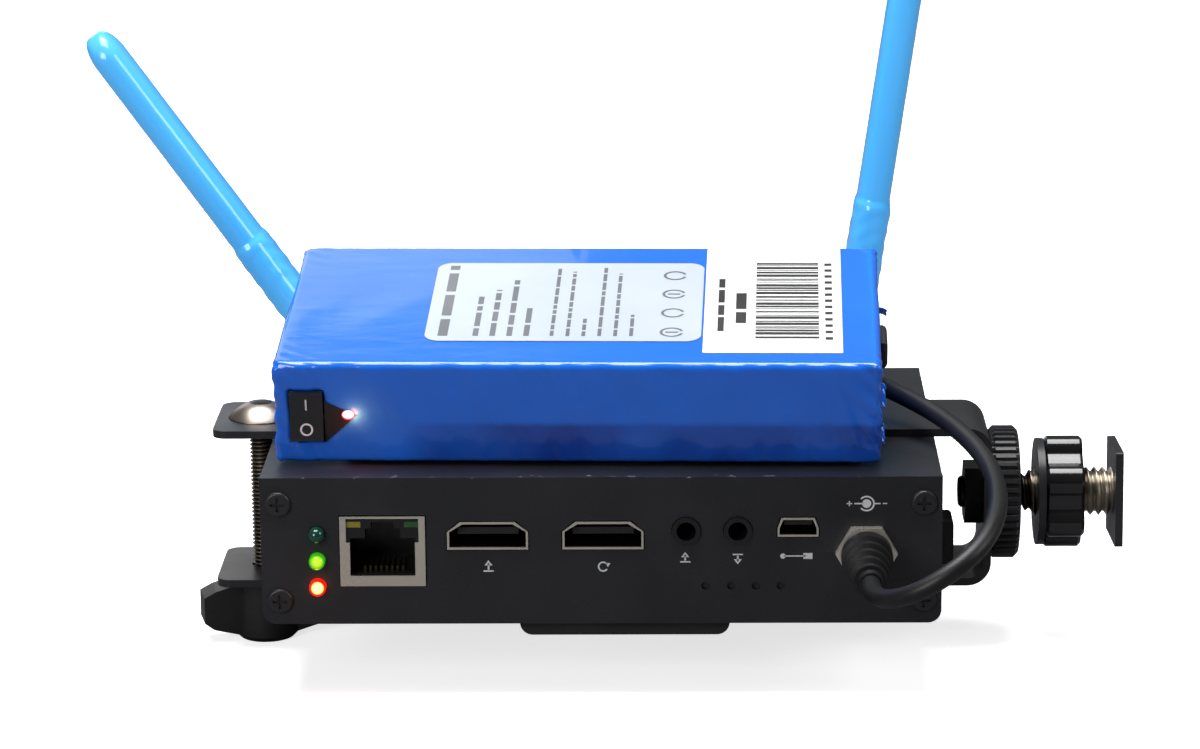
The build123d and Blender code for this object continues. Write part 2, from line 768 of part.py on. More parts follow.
def hinge_side(index, offset):
    """Plane square to the hinge pin, offset along it: local x towards the rear, local y up."""
    frame = hinge_plane(index)
    origin = frame.from_local_coords((offset, 0, 0))
    return Plane(origin=origin, x_dir=(0, 1, 0), z_dir=frame.x_dir)


def make_antenna_base(index):
    """Turning collar on the connector with a two-cheek fork for the hinge."""
    centre = [(ANTENNA_X[index], ANTENNA_Z)]
    start = CASE_D + CONNECTOR_NUT_T + COLLAR_GAP
    end = CASE_D + COLLAR_END + CONNECTOR_NUT_T
    slot = KNUCKLE_HALF_W + KNUCKLE_GAP
    with BuildPart() as base:
        disc(facing(start), centre, COLLAR_R, -(end - start))
        for side in (-1, 1):
            cheek = slot if side > 0 else -FORK_HALF_W
            with BuildSketch(hinge_side(index, cheek)):
                Circle(FORK_R)
                with Locations(((end - CASE_D - HINGE_BEHIND - 0.2) / 2, 0)):
                    Rectangle(-(end - CASE_D - HINGE_BEHIND) + 0.2, 2 * FORK_R)
            extrude(amount=FORK_HALF_W - slot)
        disc(facing(start), centre, COLLAR_BORE_R, -(CONNECTOR_OUT - CONNECTOR_NUT_T), Mode.SUBTRACT)
        with BuildSketch(hinge_side(index, -FORK_HALF_W)):
            Circle(HINGE_PIN_R)
        extrude(amount=2 * FORK_HALF_W, mode=Mode.SUBTRACT)
    return base.part


def make_antenna_pin(index):
    """Hinge pin held in the fork's cheeks."""
    with BuildPart() as pin:
        with BuildSketch(hinge_side(index, -FORK_HALF_W)):
            Circle(HINGE_PIN_R)
        extrude(amount=2 * FORK_HALF_W)
    return pin.part


def blade_section(half_w, half_t, edge_t):
    """Six-sided lens: flat narrow edges and two faces that rise to a ridge."""
    points = (
        (-edge_t / 2, -half_w),
        (edge_t / 2, -half_w),
        (half_t, 0),
        (edge_t / 2, half_w),
        (-edge_t / 2, half_w),
        (-half_t, 0),
    )
    Polygon(*points, align=None)


def make_antenna_blade(index):
    """Paddle antenna: hinge knuckle, wrapped sleeve and tapering blade with a rounded tip."""
    frame = hinge_plane(index)
    knuckle = hinge_side(index, -KNUCKLE_HALF_W)

    def across(height):
        origin = frame.from_local_coords((0, height, 0))
        return Plane(origin=origin, x_dir=frame.x_dir, z_dir=frame.y_dir)

    with BuildPart() as blade:
        with BuildSketch(knuckle):
            Circle(KNUCKLE_R)
            with Locations((0, SLEEVE_START / 2)):
                Rectangle(2 * KNUCKLE_R, SLEEVE_START)
        extrude(amount=2 * KNUCKLE_HALF_W)
        with BuildSketch(across(SLEEVE_START)):
            blade_section(SLEEVE_W / 2, SLEEVE_T / 2, BLADE_EDGE_T)
        extrude(amount=SLEEVE_END - SLEEVE_START)
        with BuildSketch(across(SLEEVE_END)):
            blade_section(BLADE_W / 2, BLADE_T / 2, BLADE_EDGE_T)
        extrude(amount=BLADE_END - SLEEVE_END)
        with BuildSketch(hinge_side(index, -SLEEVE_T)) as tip:
            with Locations((0, BLADE_END - BLADE_W / 4)):
                Rectangle(2 * BLADE_W, BLADE_W / 2)
            with Locations((0, BLADE_END - BLADE_W / 2)):
                Circle(BLADE_W / 2, mode=Mode.SUBTRACT)
        extrude(amount=2 * SLEEVE_T, mode=Mode.SUBTRACT)
        with BuildSketch(knuckle):
            Circle(HINGE_PIN_R + HINGE_PIN_CLEAR)
        extrude(amount=2 * KNUCKLE_HALF_W, mode=Mode.SUBTRACT)
    return blade.part


# ---------------------------------------------------------------- strap bracket and clamp
def make_strap_bracket():
    """Flat bar bent into a C round the case, with holes for the bolt and the mount stud."""
    top = CASE_H + STRAP_T
    corners = ((STRAP_LEFT, top), (STRAP_RIGHT, top), (STRAP_RIGHT, -STRAP_T), (STRAP_LEFT, -STRAP_T))
    inner = ((STRAP_LEFT, CASE_H), (WALL_IN_X, CASE_H), (WALL_IN_X, 0), (STRAP_LEFT, 0))
    with BuildPart() as strap:
        with BuildSketch(facing(STRAP_Y0)):
            with BuildLine():
                outside = FilletPolyline(*corners, radius=STRAP_BEND_R)
                inside = FilletPolyline(*inner, radius=STRAP_BEND_R - STRAP_T)
                Line(outside @ 0, inside @ 0)
                Line(outside @ 1, inside @ 1)
            make_face()
        extrude(amount=-STRAP_W)
        fillet(strap.edges().filter_by(Axis.Z).group_by(Axis.X)[0], STRAP_END_R)
        bolt = [(BOLT_X, STRAP_MID_Y)]
        disc(Plane.XY.offset(-STRAP_T), bolt, BOLT_HOLE_R, CASE_H + 2 * STRAP_T, Mode.SUBTRACT)
        disc(beside(WALL_IN_X), [(0, 0)], WALL_HOLE_R, STRAP_T, Mode.SUBTRACT)
    return strap.part


def make_carriage_bolt():
    """Dome-head bolt through both strap arms beside the case."""
    dome_z = CASE_H + STRAP_T
    sphere_r = (BOLT_DOME_R**2 + BOLT_DOME_H**2) / (2 * BOLT_DOME_H)
    with BuildPart() as bolt:
        with BuildSketch(Plane(origin=(BOLT_X, STRAP_MID_Y, 0), x_dir=(1, 0, 0), z_dir=(0, -1, 0))):
            with BuildLine():
                Polyline((0, BOLT_END_Z), (BOLT_R - 0.6, BOLT_END_Z), (BOLT_R, BOLT_END_Z + 0.6))
                Polyline((BOLT_R, BOLT_END_Z + 0.6), (BOLT_R, dome_z), (BOLT_DOME_R, dome_z))
                RadiusArc((BOLT_DOME_R, dome_z), (0, dome_z + BOLT_DOME_H), -sphere_r)
                Line((0, dome_z + BOLT_DOME_H), (0, BOLT_END_Z))
            make_face()
        revolve(axis=Axis((BOLT_X, STRAP_MID_Y, 0), (0, 0, 1)))
    return bolt.part


def make_clamp_washer():
    """Flat washer between the lower strap arm and the wing nut."""
    with BuildPart() as washer:
        centre = [(BOLT_X, STRAP_MID_Y)]
        disc(Plane.XY.offset(-STRAP_T), centre, WASHER_R, -WASHER_T)
        disc(Plane.XY.offset(-STRAP_T), centre, WASHER_BORE_R, -WASHER_T, Mode.SUBTRACT)
    return washer.part


def wing_top():
    """Height of the wing nut's upper face."""
    return -STRAP_T - WASHER_T - WING_GAP


def make_wing_nut():
    """Moulded wing nut: round hub and two thick wings, with a stepped blind bore from above."""
    top = wing_top()
    low = top - WING_HUB_H
    half = WING_SPAN / 2
    centre = Plane(
        origin=(BOLT_X, STRAP_MID_Y, 0),
        x_dir=(cos(radians(WING_ANGLE)), sin(radians(WING_ANGLE)), 0),
        z_dir=(sin(radians(WING_ANGLE)), -cos(radians(WING_ANGLE)), 0),
    )
    outline = (
        (-half, top - WING_TOP_DROP - 1.2),
        (-half + 2.4, top - WING_TOP_DROP),
        (-WING_HUB_R + 0.6, top - 0.4),
        (WING_HUB_R - 0.6, top - 0.4),
        (half - 2.4, top - WING_TOP_DROP),
        (half, top - WING_TOP_DROP - 1.2),
        (half, low + WING_BOTTOM_RISE + 1.4),
        (half - 1.8, low + WING_BOTTOM_RISE),
        (WING_HUB_R - 0.6, low + 1.2),
        (-WING_HUB_R + 0.6, low + 1.2),
        (-half + 1.8, low + WING_BOTTOM_RISE),
        (-half, low + WING_BOTTOM_RISE + 1.4),
    )
    axis_xy = [(BOLT_X, STRAP_MID_Y)]
    with BuildPart() as nut:
        with BuildSketch(centre.offset(-WING_T / 2)):
            Polygon(*outline, align=None)
        extrude(amount=WING_T)
        disc(Plane.XY.offset(top), axis_xy, WING_HUB_R, -WING_HUB_H)
        chamfer(nut.edges().filter_by(GeomType.CIRCLE).group_by(Axis.Z)[0], 1.0)
        disc(Plane.XY.offset(top), axis_xy, INSERT_R, -INSERT_H, Mode.SUBTRACT)
        disc(Plane.XY.offset(top), axis_xy, WING_BORE_R, -WING_BORE_DEPTH, Mode.SUBTRACT)
    return nut.part


def make_wing_insert():
    """Brass threaded insert moulded into the wing nut."""
    with BuildPart() as insert:
        centre = [(BOLT_X, STRAP_MID_Y)]
        disc(Plane.XY.offset(wing_top()), centre, INSERT_R, -INSERT_H)
        disc(Plane.XY.offset(wing_top()), centre, INSERT_BORE_R, -INSERT_H, Mode.SUBTRACT)
    return insert.part


# ---------------------------------------------------------------- shoe mount
def make_mount_stem():
    """One-piece steel stem: small stud, conical neck and large threaded barrel."""
    tip = WALL_IN_X - FACE_GAP - JAM_NUT_T - STUD_TIP_OUT
    profile = (
        (tip, 0),
        (tip, STUD_R - 0.5),
        (tip + 0.5, STUD_R),
        (NECK_X, STUD_R),
        (NECK_X + NECK_L, STEM_R),
        (SHOE_X, STEM_R),
        (SHOE_X, 0),
    )
    side = Plane(origin=(0, STRAP_MID_Y, MOUNT_Z), x_dir=(1, 0, 0), z_dir=(0, -1, 0))
    with BuildPart() as stem:
        with BuildSketch(side):
            Polygon(*profile, align=None)
        revolve(axis=Axis((0, STRAP_MID_Y, MOUNT_Z), (1, 0, 0)))
    return stem.part


def make_jam_nut():
    """Hexagonal nut on the stud, inside the strap's wall."""
    inner_face = WALL_IN_X - FACE_GAP
    with BuildPart() as nut:
        hexagon(beside(inner_face), [(0, 0)], JAM_NUT_AF, -JAM_NUT_T)
        disc(beside(inner_face), [(0, 0)], STUD_R, -JAM_NUT_T, Mode.SUBTRACT)
    return nut.part


def make_knurled_wheel():
    """Locking wheel with straight ridges round its rim."""
    step = 2 * pi / WHEEL_RIDGES
    points = []
    for i in range(WHEEL_RIDGES):
        for offset, radius in ((-0.28, WHEEL_R), (0.1, WHEEL_R), (0.3, WHEEL_R - WHEEL_RIDGE_H), (0.52, WHEEL_R - WHEEL_RIDGE_H)):
            angle = (i + offset) * step
            points.append((radius * cos(angle), radius * sin(angle)))
    with BuildPart() as wheel:
        with BuildSketch(beside(WHEEL_X)):
            Polygon(*points, align=None)
            Circle(STUD_R, mode=Mode.SUBTRACT)
        extrude(amount=WHEEL_T)
        with BuildSketch(Plane(origin=(0, STRAP_MID_Y, MOUNT_Z), x_dir=(1, 0, 0), z_dir=(0, -1, 0))):
            rim = WHEEL_R - 0.8
            Polygon(
                (WHEEL_X, 0),
                (WHEEL_X, rim),
                (WHEEL_X + 0.8, WHEEL_R),
                (NECK_X - 0.8, WHEEL_R),
                (NECK_X, rim),
                (NECK_X, 0),
                align=None,
            )
        revolve(axis=Axis((0, STRAP_MID_Y, MOUNT_Z), (1, 0, 0)), mode=Mode.INTERSECT)
    return wheel.part


def make_knob_disc():
    """Flange washer on the inner face of the lock knob."""
    with BuildPart() as flange:
        disc(beside(DISC_X), [(0, 0)], DISC_R, DISC_T)
        disc(beside(DISC_X), [(0, 0)], KNOB_BORE_R, DISC_T, Mode.SUBTRACT)
    return flange.part


def make_lock_knob():
    """Lobed knob that runs along the large thread to clamp the shoe."""
    with BuildPart() as knob:
        with BuildSketch(beside(KNOB_X)) as outline:
            Circle(KNOB_CORE_R)
            with PolarLocations(KNOB_R - KNOB_LOBE_R, KNOB_LOBES, start_angle=30):
                Circle(KNOB_LOBE_R)
            fillet(outline.vertices(), 1.2)
            Circle(KNOB_BORE_R, mode=Mode.SUBTRACT)
        extrude(amount=KNOB_T)
        rims = knob.edges().filter_by(GeomType.CIRCLE).filter_by(Plane.YZ)
        chamfer([e for e in rims if e.radius != KNOB_BORE_R], 0.6)
    return knob.part


def make_shoe_foot():
    """Square foot plate that slides into an accessory shoe."""
    tilt = radians(SHOE_TILT)
    plane = Plane(
        origin=(SHOE_X, STRAP_MID_Y, MOUNT_Z),
        x_dir=(0, cos(tilt), sin(tilt)),
        z_dir=(1, 0, 0),
    )
    with BuildPart() as foot:
        with BuildSketch(plane):
            RectangleRounded(SHOE_W, SHOE_L, 0.6)
        extrude(amount=SHOE_T)
    return foot.part


# ---------------------------------------------------------------- battery
def battery_level(height):
    """Plane parallel to the battery's base at a height above it."""
    return BATTERY.offset(height)


def lead_exit_point(outward):
    """Point on the lead's line at the battery's right end, moved outward along it."""
    end = Vector(*LEAD_ROUTE[-1])
    face = BATTERY.from_local_coords((BATTERY_W, *LEAD_EXIT))
    along = (end - face).normalized()
    return face + along * outward


def rounded_block(inset):
    """Battery outline shrunk by an inset on every side, with rounded edges."""
    with BuildPart() as block:
        height = BATTERY_T - 2 * inset
        slab(battery_level(inset), inset, BATTERY_W - inset, inset, BATTERY_L - inset, height)
        fillet(block.edges(), FILM_R - inset)
    return block.part


def make_battery_wrap():
    """Shrink-film skin of the battery, hollow, with openings for switch, lamp and lead."""
    outside = rounded_block(0)
    inside = rounded_block(FILM_T)
    with BuildPart() as wrap:
        add(outside)
        add(inside, mode=Mode.SUBTRACT)
        half_w = ROCKER_W / 2 + ROCKER_CLEAR
        half_h = ROCKER_H / 2 + ROCKER_CLEAR
        opening = (SWITCH_X - half_w, SWITCH_X + half_w, SWITCH_Z - half_h, SWITCH_Z + half_h)
        slab(BATTERY_FRONT, *opening, -FILM_T, Mode.SUBTRACT)
        with BuildSketch(BATTERY_FRONT):
            Polygon(*CUTOUT, align=None)
        extrude(amount=-FILM_T, mode=Mode.SUBTRACT)
        start = lead_exit_point(-4.0)
        with BuildSketch(Plane(origin=start, z_dir=lead_exit_point(1.0) - start)):
            Circle(LEAD_HOLE_R)
        extrude(amount=8.0, mode=Mode.SUBTRACT)
    return wrap.part


def make_battery_cells():
    """Flat cells stacked inside the wrap."""
    room = BATTERY_T - 2 * FILM_T - (CELL_COUNT + 1) * CELL_GAP
    height = room / CELL_COUNT
    with BuildPart() as cells:
        for i in range(CELL_COUNT):
            low = FILM_T + CELL_GAP + i * (height + CELL_GAP)
            plane = battery_level(low)
            slab(plane, CELL_X0, CELL_X1, CELL_INSET_Y, BATTERY_L - CELL_INSET_Y, height)
    return cells.part


def make_protection_board():
    """Small circuit board beside the cells, behind the switch."""
    with BuildPart() as board:
        plane = battery_level(BATTERY_T / 2 - PROTECTION_T / 2)
        slab(plane, PROTECTION_X0, PROTECTION_X1, FRAME_DEPTH + 4.0, BATTERY_L - 4.0, PROTECTION_T)
    return board.part


def rocker_side(offset):
    """Plane square to the rocker's pivot, in battery directions."""
    origin = BATTERY.from_local_coords((SWITCH_X + offset, ROCKER_PIVOT_DEPTH, SWITCH_Z))
    return Plane(origin=origin, x_dir=BATTERY.y_dir, z_dir=BATTERY.x_dir)


def make_switch_frame():
    """Switch body behind the film, open to the front around the rocker."""
    half_w = ROCKER_W / 2 + ROCKER_CLEAR
    half_h = ROCKER_H / 2 + ROCKER_CLEAR
    pocket = FRAME_DEPTH - 2.0
    front = BATTERY_FRONT.offset(-FILM_T - FRAME_GAP)
    with BuildPart() as frame:
        slab(
            front,
            SWITCH_X - half_w - FRAME_BORDER,
            SWITCH_X + half_w + FRAME_BORDER,
            SWITCH_Z - half_h - FRAME_BORDER,
            SWITCH_Z + half_h + FRAME_BORDER,
            -FRAME_DEPTH,
        )
        slab(front, SWITCH_X - half_w, SWITCH_X + half_w, SWITCH_Z - half_h, SWITCH_Z + half_h, -pocket, Mode.SUBTRACT)
        with BuildSketch(rocker_side(-half_w - FRAME_BORDER)):
            Circle(ROCKER_PIN_R)
        extrude(amount=2 * (half_w + FRAME_BORDER), mode=Mode.SUBTRACT)
    return frame.part


def make_switch_rocker():
    """Rocker cap: shallow V face that tips about a pin, stored with its upper half pressed in."""
    half = ROCKER_H / 2 - 0.15
    front = ROCKER_PIVOT_DEPTH + ROCKER_PROUD
    tip = -radians(ROCKER_TRAVEL / 2)
    raw = (
        (-front + 0.9, -half),
        (-front - 0.1, -half + 0.5),
        (-front + 0.5, 0),
        (-front - 0.1, half - 0.5),
        (-front + 0.9, half),
        (0.6, half - 0.9),
        (2.2, 0.0),
        (0.6, -half + 0.9),
    )
    turned = [(x * cos(tip) - z * sin(tip), x * sin(tip) + z * cos(tip)) for x, z in raw]
    half_w = ROCKER_W / 2 - 0.06
    with BuildPart() as rocker:
        with BuildSketch(rocker_side(-half_w)):
            Polygon(*turned, align=None)
        extrude(amount=2 * half_w)
        pin_half = half_w + FRAME_BORDER * 0.7
        with BuildSketch(rocker_side(-pin_half)):
            Circle(ROCKER_PIN_R - 0.05)
        extrude(amount=2 * pin_half)
    return rocker.part


def make_battery_lamp():
    """Charge lamp seen through the film's triangular cut-out."""
    with BuildPart() as lamp:
        disc(BATTERY_FRONT.offset(-FILM_T - 0.4), [BATTERY_LAMP], BATTERY_LAMP_R, -2.0)
    return lamp.part


def make_label(x0, x1, y0, y1, corner):
    """Thin printed label on the battery's upper face."""
    with BuildPart() as label:
        with BuildSketch(battery_level(BATTERY_T)):
            with Locations(((x0 + x1) / 2, (y0 + y1) / 2)):
                RectangleRounded(x1 - x0, y1 - y0, corner)
        extrude(amount=LABEL_T)
    return label.part


def make_battery_pad():
    """Foam wedge with hook-and-loop faces between the strap and the sloping battery."""
    with BuildPart() as pad:
        low = Plane.XY.offset(CASE_H + STRAP_T)
        slab(low, WEDGE_INSET, CASE_W - WEDGE_INSET, STRAP_Y0 + 1.0, STRAP_Y0 + STRAP_W - 1.0, BATTERY_T)
        slab(battery_level(0), -CASE_W, 2 * CASE_W, -CASE_D, 2 * CASE_D, 3 * BATTERY_T, Mode.SUBTRACT)
    return pad.part


def make_end_pad():
    """Rubber pad stuck on the battery's right end, ahead of the lead."""
    with BuildPart() as pad:
        plane = Plane(
            origin=BATTERY.from_local_coords((BATTERY_W, 0, 0)),
            x_dir=BATTERY.y_dir,
            z_dir=BATTERY.x_dir,
        )
        slab(plane, END_PAD_Y0, END_PAD_Y1, END_PAD_Z0, END_PAD_Z1, END_PAD_T)
        fillet(pad.faces().sort_by(Axis(BATTERY.origin, BATTERY.x_dir))[-1].edges(), 1.0)
    return pad.part


# ---------------------------------------------------------------- lead
def lead_points():
    """Corner points of the lead from the plug to just inside the battery's wrap."""
    plug_end = Vector(POWER_X, PLUG_FACE_Y - PLUG_GRIP_L, POWER_Z)
    return [plug_end] + [Vector(*p) for p in LEAD_ROUTE] + [lead_exit_point(-1.2)]


def lead_radii():
    """Bend radius at each inner corner: 0.45 of the shorter run over tan of half the turn."""
    points = lead_points()
    radii = []
    for before, corner, after in zip(points, points[1:], points[2:]):
        arrive, leave = corner - before, after - corner
        turn = acos(arrive.normalized().dot(leave.normalized()))
        radii.append(0.45 * min(arrive.length, leave.length) / tan(turn / 2))
    return radii


def make_battery_lead():
    """Round lead swept along straight runs and arcs from the plug to the battery."""
    radii = lead_radii()
    print("lead radii mm", [round(r, 1) for r in radii])
    with BuildPart() as lead:
        with BuildLine() as route:
            FilletPolyline(*lead_points(), radius=radii)
        with BuildSketch(Plane(origin=route.line @ 0, z_dir=route.line % 0)):
            Circle(LEAD_D / 2)
        sweep()
    length = sum(edge.length for edge in route.edges())
    ratio = lead.part.volume / (length * pi * LEAD_D**2 / 4)
    print("lead length mm", round(length, 2), "volume ratio", round(ratio, 4))
    return lead.part


def make_power_plug():
    """Moulded plug: metal barrel in the socket, tapered grip and ribbed strain relief."""
    face = PLUG_FACE_Y
    end = face - PLUG_GRIP_L
    rib = PLUG_GRIP_L / (2 * PLUG_RIBS + 3)
    profile = [(0, face), (PLUG_GRIP_R - 0.4, face), (PLUG_GRIP_R, face - 0.4), (PLUG_GRIP_R, face - 2 * rib)]
    for i in range(PLUG_RIBS):
        y = face - (2 + 2 * i) * rib
        radius = PLUG_GRIP_R - (PLUG_GRIP_R - PLUG_TIP_R) * (i + 1) / PLUG_RIBS
        profile += [(radius - 0.6, y - 0.3), (radius - 0.6, y - rib), (radius, y - rib), (radius, y - 2 * rib)]
    profile += [(PLUG_TIP_R - 0.7, profile[-1][1]), (PLUG_TIP_R - 0.9, end), (0, end)]
    plane = Plane(origin=(POWER_X, 0, POWER_Z), x_dir=(1, 0, 0), z_dir=(0, 0, 1))
    with BuildPart() as plug:
        with BuildSketch(plane):
            Polygon(*profile, align=None)
        revolve(axis=Axis((POWER_X, 0, POWER_Z), (0, 1, 0)))
        centre = [(POWER_X, POWER_Z)]
        disc(facing(face), centre, PLUG_BARREL_R, -PLUG_BARREL_L)
        disc(facing(face + PLUG_BARREL_L), centre, 1.1, PLUG_BARREL_L, Mode.SUBTRACT)
    return plug.part


def main():
    """Build and write every node."""
    os.makedirs("parts", exist_ok=True)
    save("case_shell", make_case_shell())
    save("case_cover", make_case_cover())
    save("front_panel", make_front_panel())
    save("rear_panel", make_rear_panel())
    save("front_screws", make_panel_screws(0, -1))
    save("rear_screws", make_panel_screws(CASE_D, 1))
    save("underside_pad", make_underside_pad())
    save("side_bumper", make_side_bumper())
    save("main_board", make_main_board())
    save("board_standoffs", make_board_standoffs())
    save("board_screws", make_board_screws())
    save("board_chips", make_board_chips())
    save("radio_shield", make_radio_shield())
    save("network_shield", make_network_shield())
    save("network_insert", make_network_insert())
    save("network_pins", make_network_pins())
    save("network_lamp_left", make_network_lamp(0))
    save("network_lamp_right", make_network_lamp(1))
    save("video_shells", make_video_shells())
    save("video_tongues", make_video_tongues())
    save("audio_jacks", make_audio_jacks())
    save("usb_shell", make_usb_shell())
    save("usb_tongue", make_usb_tongue())
    save("power_jack", make_power_jack())
    save("power_nut", make_power_nut())
    for name, z in zip(("lamp_top", "lamp_middle", "lamp_bottom"), LAMP_Z):
        save(name, make_lamp(z))
    save("antenna_connectors", make_antenna_connectors())
    for index, side in enumerate(("left", "right")):
        save(f"antenna_{side}_base", make_antenna_base(index))
        save(f"antenna_{side}_pin", make_antenna_pin(index))
        save(f"antenna_{side}_blade", make_antenna_blade(index))
    save("strap_bracket", make_strap_bracket())
    save("carriage_bolt", make_carriage_bolt())
    save("clamp_washer", make_clamp_washer())
    save("wing_nut", make_wing_nut())
    save("wing_insert", make_wing_insert())
    save("mount_stem", make_mount_stem())
    save("jam_nut", make_jam_nut())
    save("knurled_wheel", make_knurled_wheel())
    save("knob_disc", make_knob_disc())
    save("lock_knob", make_lock_knob())
    save("shoe_foot", make_shoe_foot())
    save("battery_wrap", make_battery_wrap())
    save("battery_cells", make_battery_cells())
    save("protection_board", make_protection_board())
    save("switch_frame", make_switch_frame())
    save("switch_rocker", make_switch_rocker())
    save("battery_lamp", make_battery_lamp())
    save("battery_label", make_label(LABEL_X0, LABEL_X1, LABEL_Y0, LABEL_Y1, LABEL_R))
    save("code_sticker", make_label(STICKER_X0, STICKER_X1, STICKER_Y0, STICKER_Y1, 0.4))
    save("battery_pad", make_battery_pad())
    save("end_pad", make_end_pad())
    save("battery_lead", make_battery_lead())
    save("power_plug", make_power_plug())


main()
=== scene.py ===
"""Looks for the wireless unit and its strapped battery: finishes, film, threads, marks, lead and light."""

import json
import math

import bpy
import numpy as np
from mathutils import Matrix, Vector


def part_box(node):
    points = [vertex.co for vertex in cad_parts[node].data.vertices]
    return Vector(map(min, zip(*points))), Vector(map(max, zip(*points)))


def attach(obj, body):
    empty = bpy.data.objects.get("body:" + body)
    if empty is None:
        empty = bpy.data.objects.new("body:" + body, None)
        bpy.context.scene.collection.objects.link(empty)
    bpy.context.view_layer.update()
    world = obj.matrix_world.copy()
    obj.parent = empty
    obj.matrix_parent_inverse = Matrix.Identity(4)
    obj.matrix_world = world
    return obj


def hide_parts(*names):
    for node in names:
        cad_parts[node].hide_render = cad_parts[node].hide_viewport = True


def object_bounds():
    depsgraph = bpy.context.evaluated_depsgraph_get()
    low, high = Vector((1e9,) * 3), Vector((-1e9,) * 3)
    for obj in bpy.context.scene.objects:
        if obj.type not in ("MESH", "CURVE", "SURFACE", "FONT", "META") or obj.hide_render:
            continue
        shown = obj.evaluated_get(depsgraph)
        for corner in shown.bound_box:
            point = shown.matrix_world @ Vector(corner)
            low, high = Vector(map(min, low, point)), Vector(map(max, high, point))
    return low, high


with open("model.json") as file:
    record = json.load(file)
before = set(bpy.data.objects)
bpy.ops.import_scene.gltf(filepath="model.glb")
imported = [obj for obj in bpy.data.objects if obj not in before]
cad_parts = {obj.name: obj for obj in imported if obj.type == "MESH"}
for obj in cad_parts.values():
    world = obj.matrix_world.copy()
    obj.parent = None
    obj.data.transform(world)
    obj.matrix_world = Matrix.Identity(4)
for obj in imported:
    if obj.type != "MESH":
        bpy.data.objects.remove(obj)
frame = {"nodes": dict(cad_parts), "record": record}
cad_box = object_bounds()
nodes = frame["nodes"]

# ------------------------------------------------------------------ places, in metres
MM = 0.001
CASE_CORNER = np.array((-0.16365, -0.0388, -0.0143))


def at_case(*millimetres):
    """Case coordinates in millimetres, from the front lower left corner, to frame metres."""
    return np.asarray(millimetres, float) * MM + CASE_CORNER


PITCH, YAW = math.radians(8.8), math.radians(-1.4)
BATTERY_X = np.array((math.cos(YAW), math.sin(YAW), 0.0))
BATTERY_Z = np.array((math.sin(YAW) * math.sin(PITCH), -math.cos(YAW) * math.sin(PITCH), math.cos(PITCH)))
BATTERY_Y = np.cross(BATTERY_Z, BATTERY_X)
BATTERY_AXES = np.array((BATTERY_X, BATTERY_Y, BATTERY_Z))
BATTERY_CORNER = at_case(2.3, 9.2, 28.7)
BATTERY_SIZE = np.array((113.7, 59.7, 20.4))
FILM_RADIUS = 1.4
FILM_T = 0.3
SWITCH_PIVOT = (6.3, 2.4, 9.6)
SWITCH_WINDOW_HALF = (3.32, 5.32)
CUTOUT = ((9.7, 4.5), (15.7, 10.0), (9.7, 12.8))
CHARGE_LAMP = (14.1, 10.1)
ANTENNA_HINGES = (("left", 17.1, -35.4), ("right", 111.0, 8.3))
HINGE_Y, HINGE_Z = 92.8, 14.2
SLEEVE_START, SLEEVE_END = 5.6, 47.0
TIP_START, TIP_END, TIP_L = 94.2, 100.2, 6.0
KNUCKLE_HALF_W = 2.7
BOLT_PITCH, BOLT_CREST, BOLT_THREAD_DEPTH = 0.8 * MM, 2.4 * MM, 0.46 * MM
BOLT_DOME_H, BOLT_BEVEL, BOLT_PLAIN_NECK = 3.2 * MM, 0.6 * MM, 1.6 * MM
STEM_PITCH, STEM_CREST, STEM_THREAD_DEPTH = 1.5875 * MM, 4.7 * MM, 0.8 * MM
STUD_R, STUD_BEVEL, NECK_L = 3.1 * MM, 0.5 * MM, 3.6 * MM
LEAD_R = 1.75
LEAD_EXIT = (31.0, 3.0)
LEAD_OVERLAP = 1.2


def on_battery(local):
    """Battery coordinates in millimetres, from its lower front left corner, to frame metres."""
    return BATTERY_CORNER + np.asarray(local, float) @ BATTERY_AXES * MM


# ------------------------------------------------------------------ camera
VIEWPOINT = (79.925, -740.837, 239.749)
VIEW_ANGLES = (14.50, -1.26, -0.52)
FOCAL_OVER_WIDTH = 4153.0 / 1200.0


def place_camera():
    """Camera in front of the case, looking down with a slight yaw and roll."""
    pitch, yaw, roll = (math.radians(angle) for angle in VIEW_ANGLES)
    ahead = np.array((math.sin(yaw) * math.cos(pitch), math.cos(yaw) * math.cos(pitch), -math.sin(pitch)))
    side = np.array((math.cos(yaw), -math.sin(yaw), 0.0))
    up = np.cross(side, ahead)
    right = math.cos(roll) * side + math.sin(roll) * up
    top = -math.sin(roll) * side + math.cos(roll) * up
    data = bpy.data.cameras.new("camera")
    data.sensor_width = 36.0
    data.lens = FOCAL_OVER_WIDTH * data.sensor_width
    data.clip_start = 0.01
    camera = bpy.data.objects.new("camera", data)
    matrix = Matrix.Identity(4)
    for row in range(3):
        matrix[row][0] = right[row]
        matrix[row][1] = top[row]
        matrix[row][2] = -ahead[row]
        matrix[row][3] = at_case(*VIEWPOINT)[row]
    camera.matrix_world = matrix
    bpy.context.scene.collection.objects.link(camera)
    bpy.context.scene.camera = camera


# ------------------------------------------------------------------ shared shader groups
def new_group(name, inputs, outputs):
    """Empty shader group with named sockets; returns the group, its input node and its output node."""
    group = bpy.data.node_groups.new(name, "ShaderNodeTree")
    for label, kind, value in inputs:
        socket = group.interface.new_socket(name=label, in_out="INPUT", socket_type=kind)
        if value is not None:
            socket.default_value = value
    for label, kind in outputs:
        group.interface.new_socket(name=label, in_out="OUTPUT", socket_type=kind)
    return group, group.nodes.new("NodeGroupInput"), group.nodes.new("NodeGroupOutput")


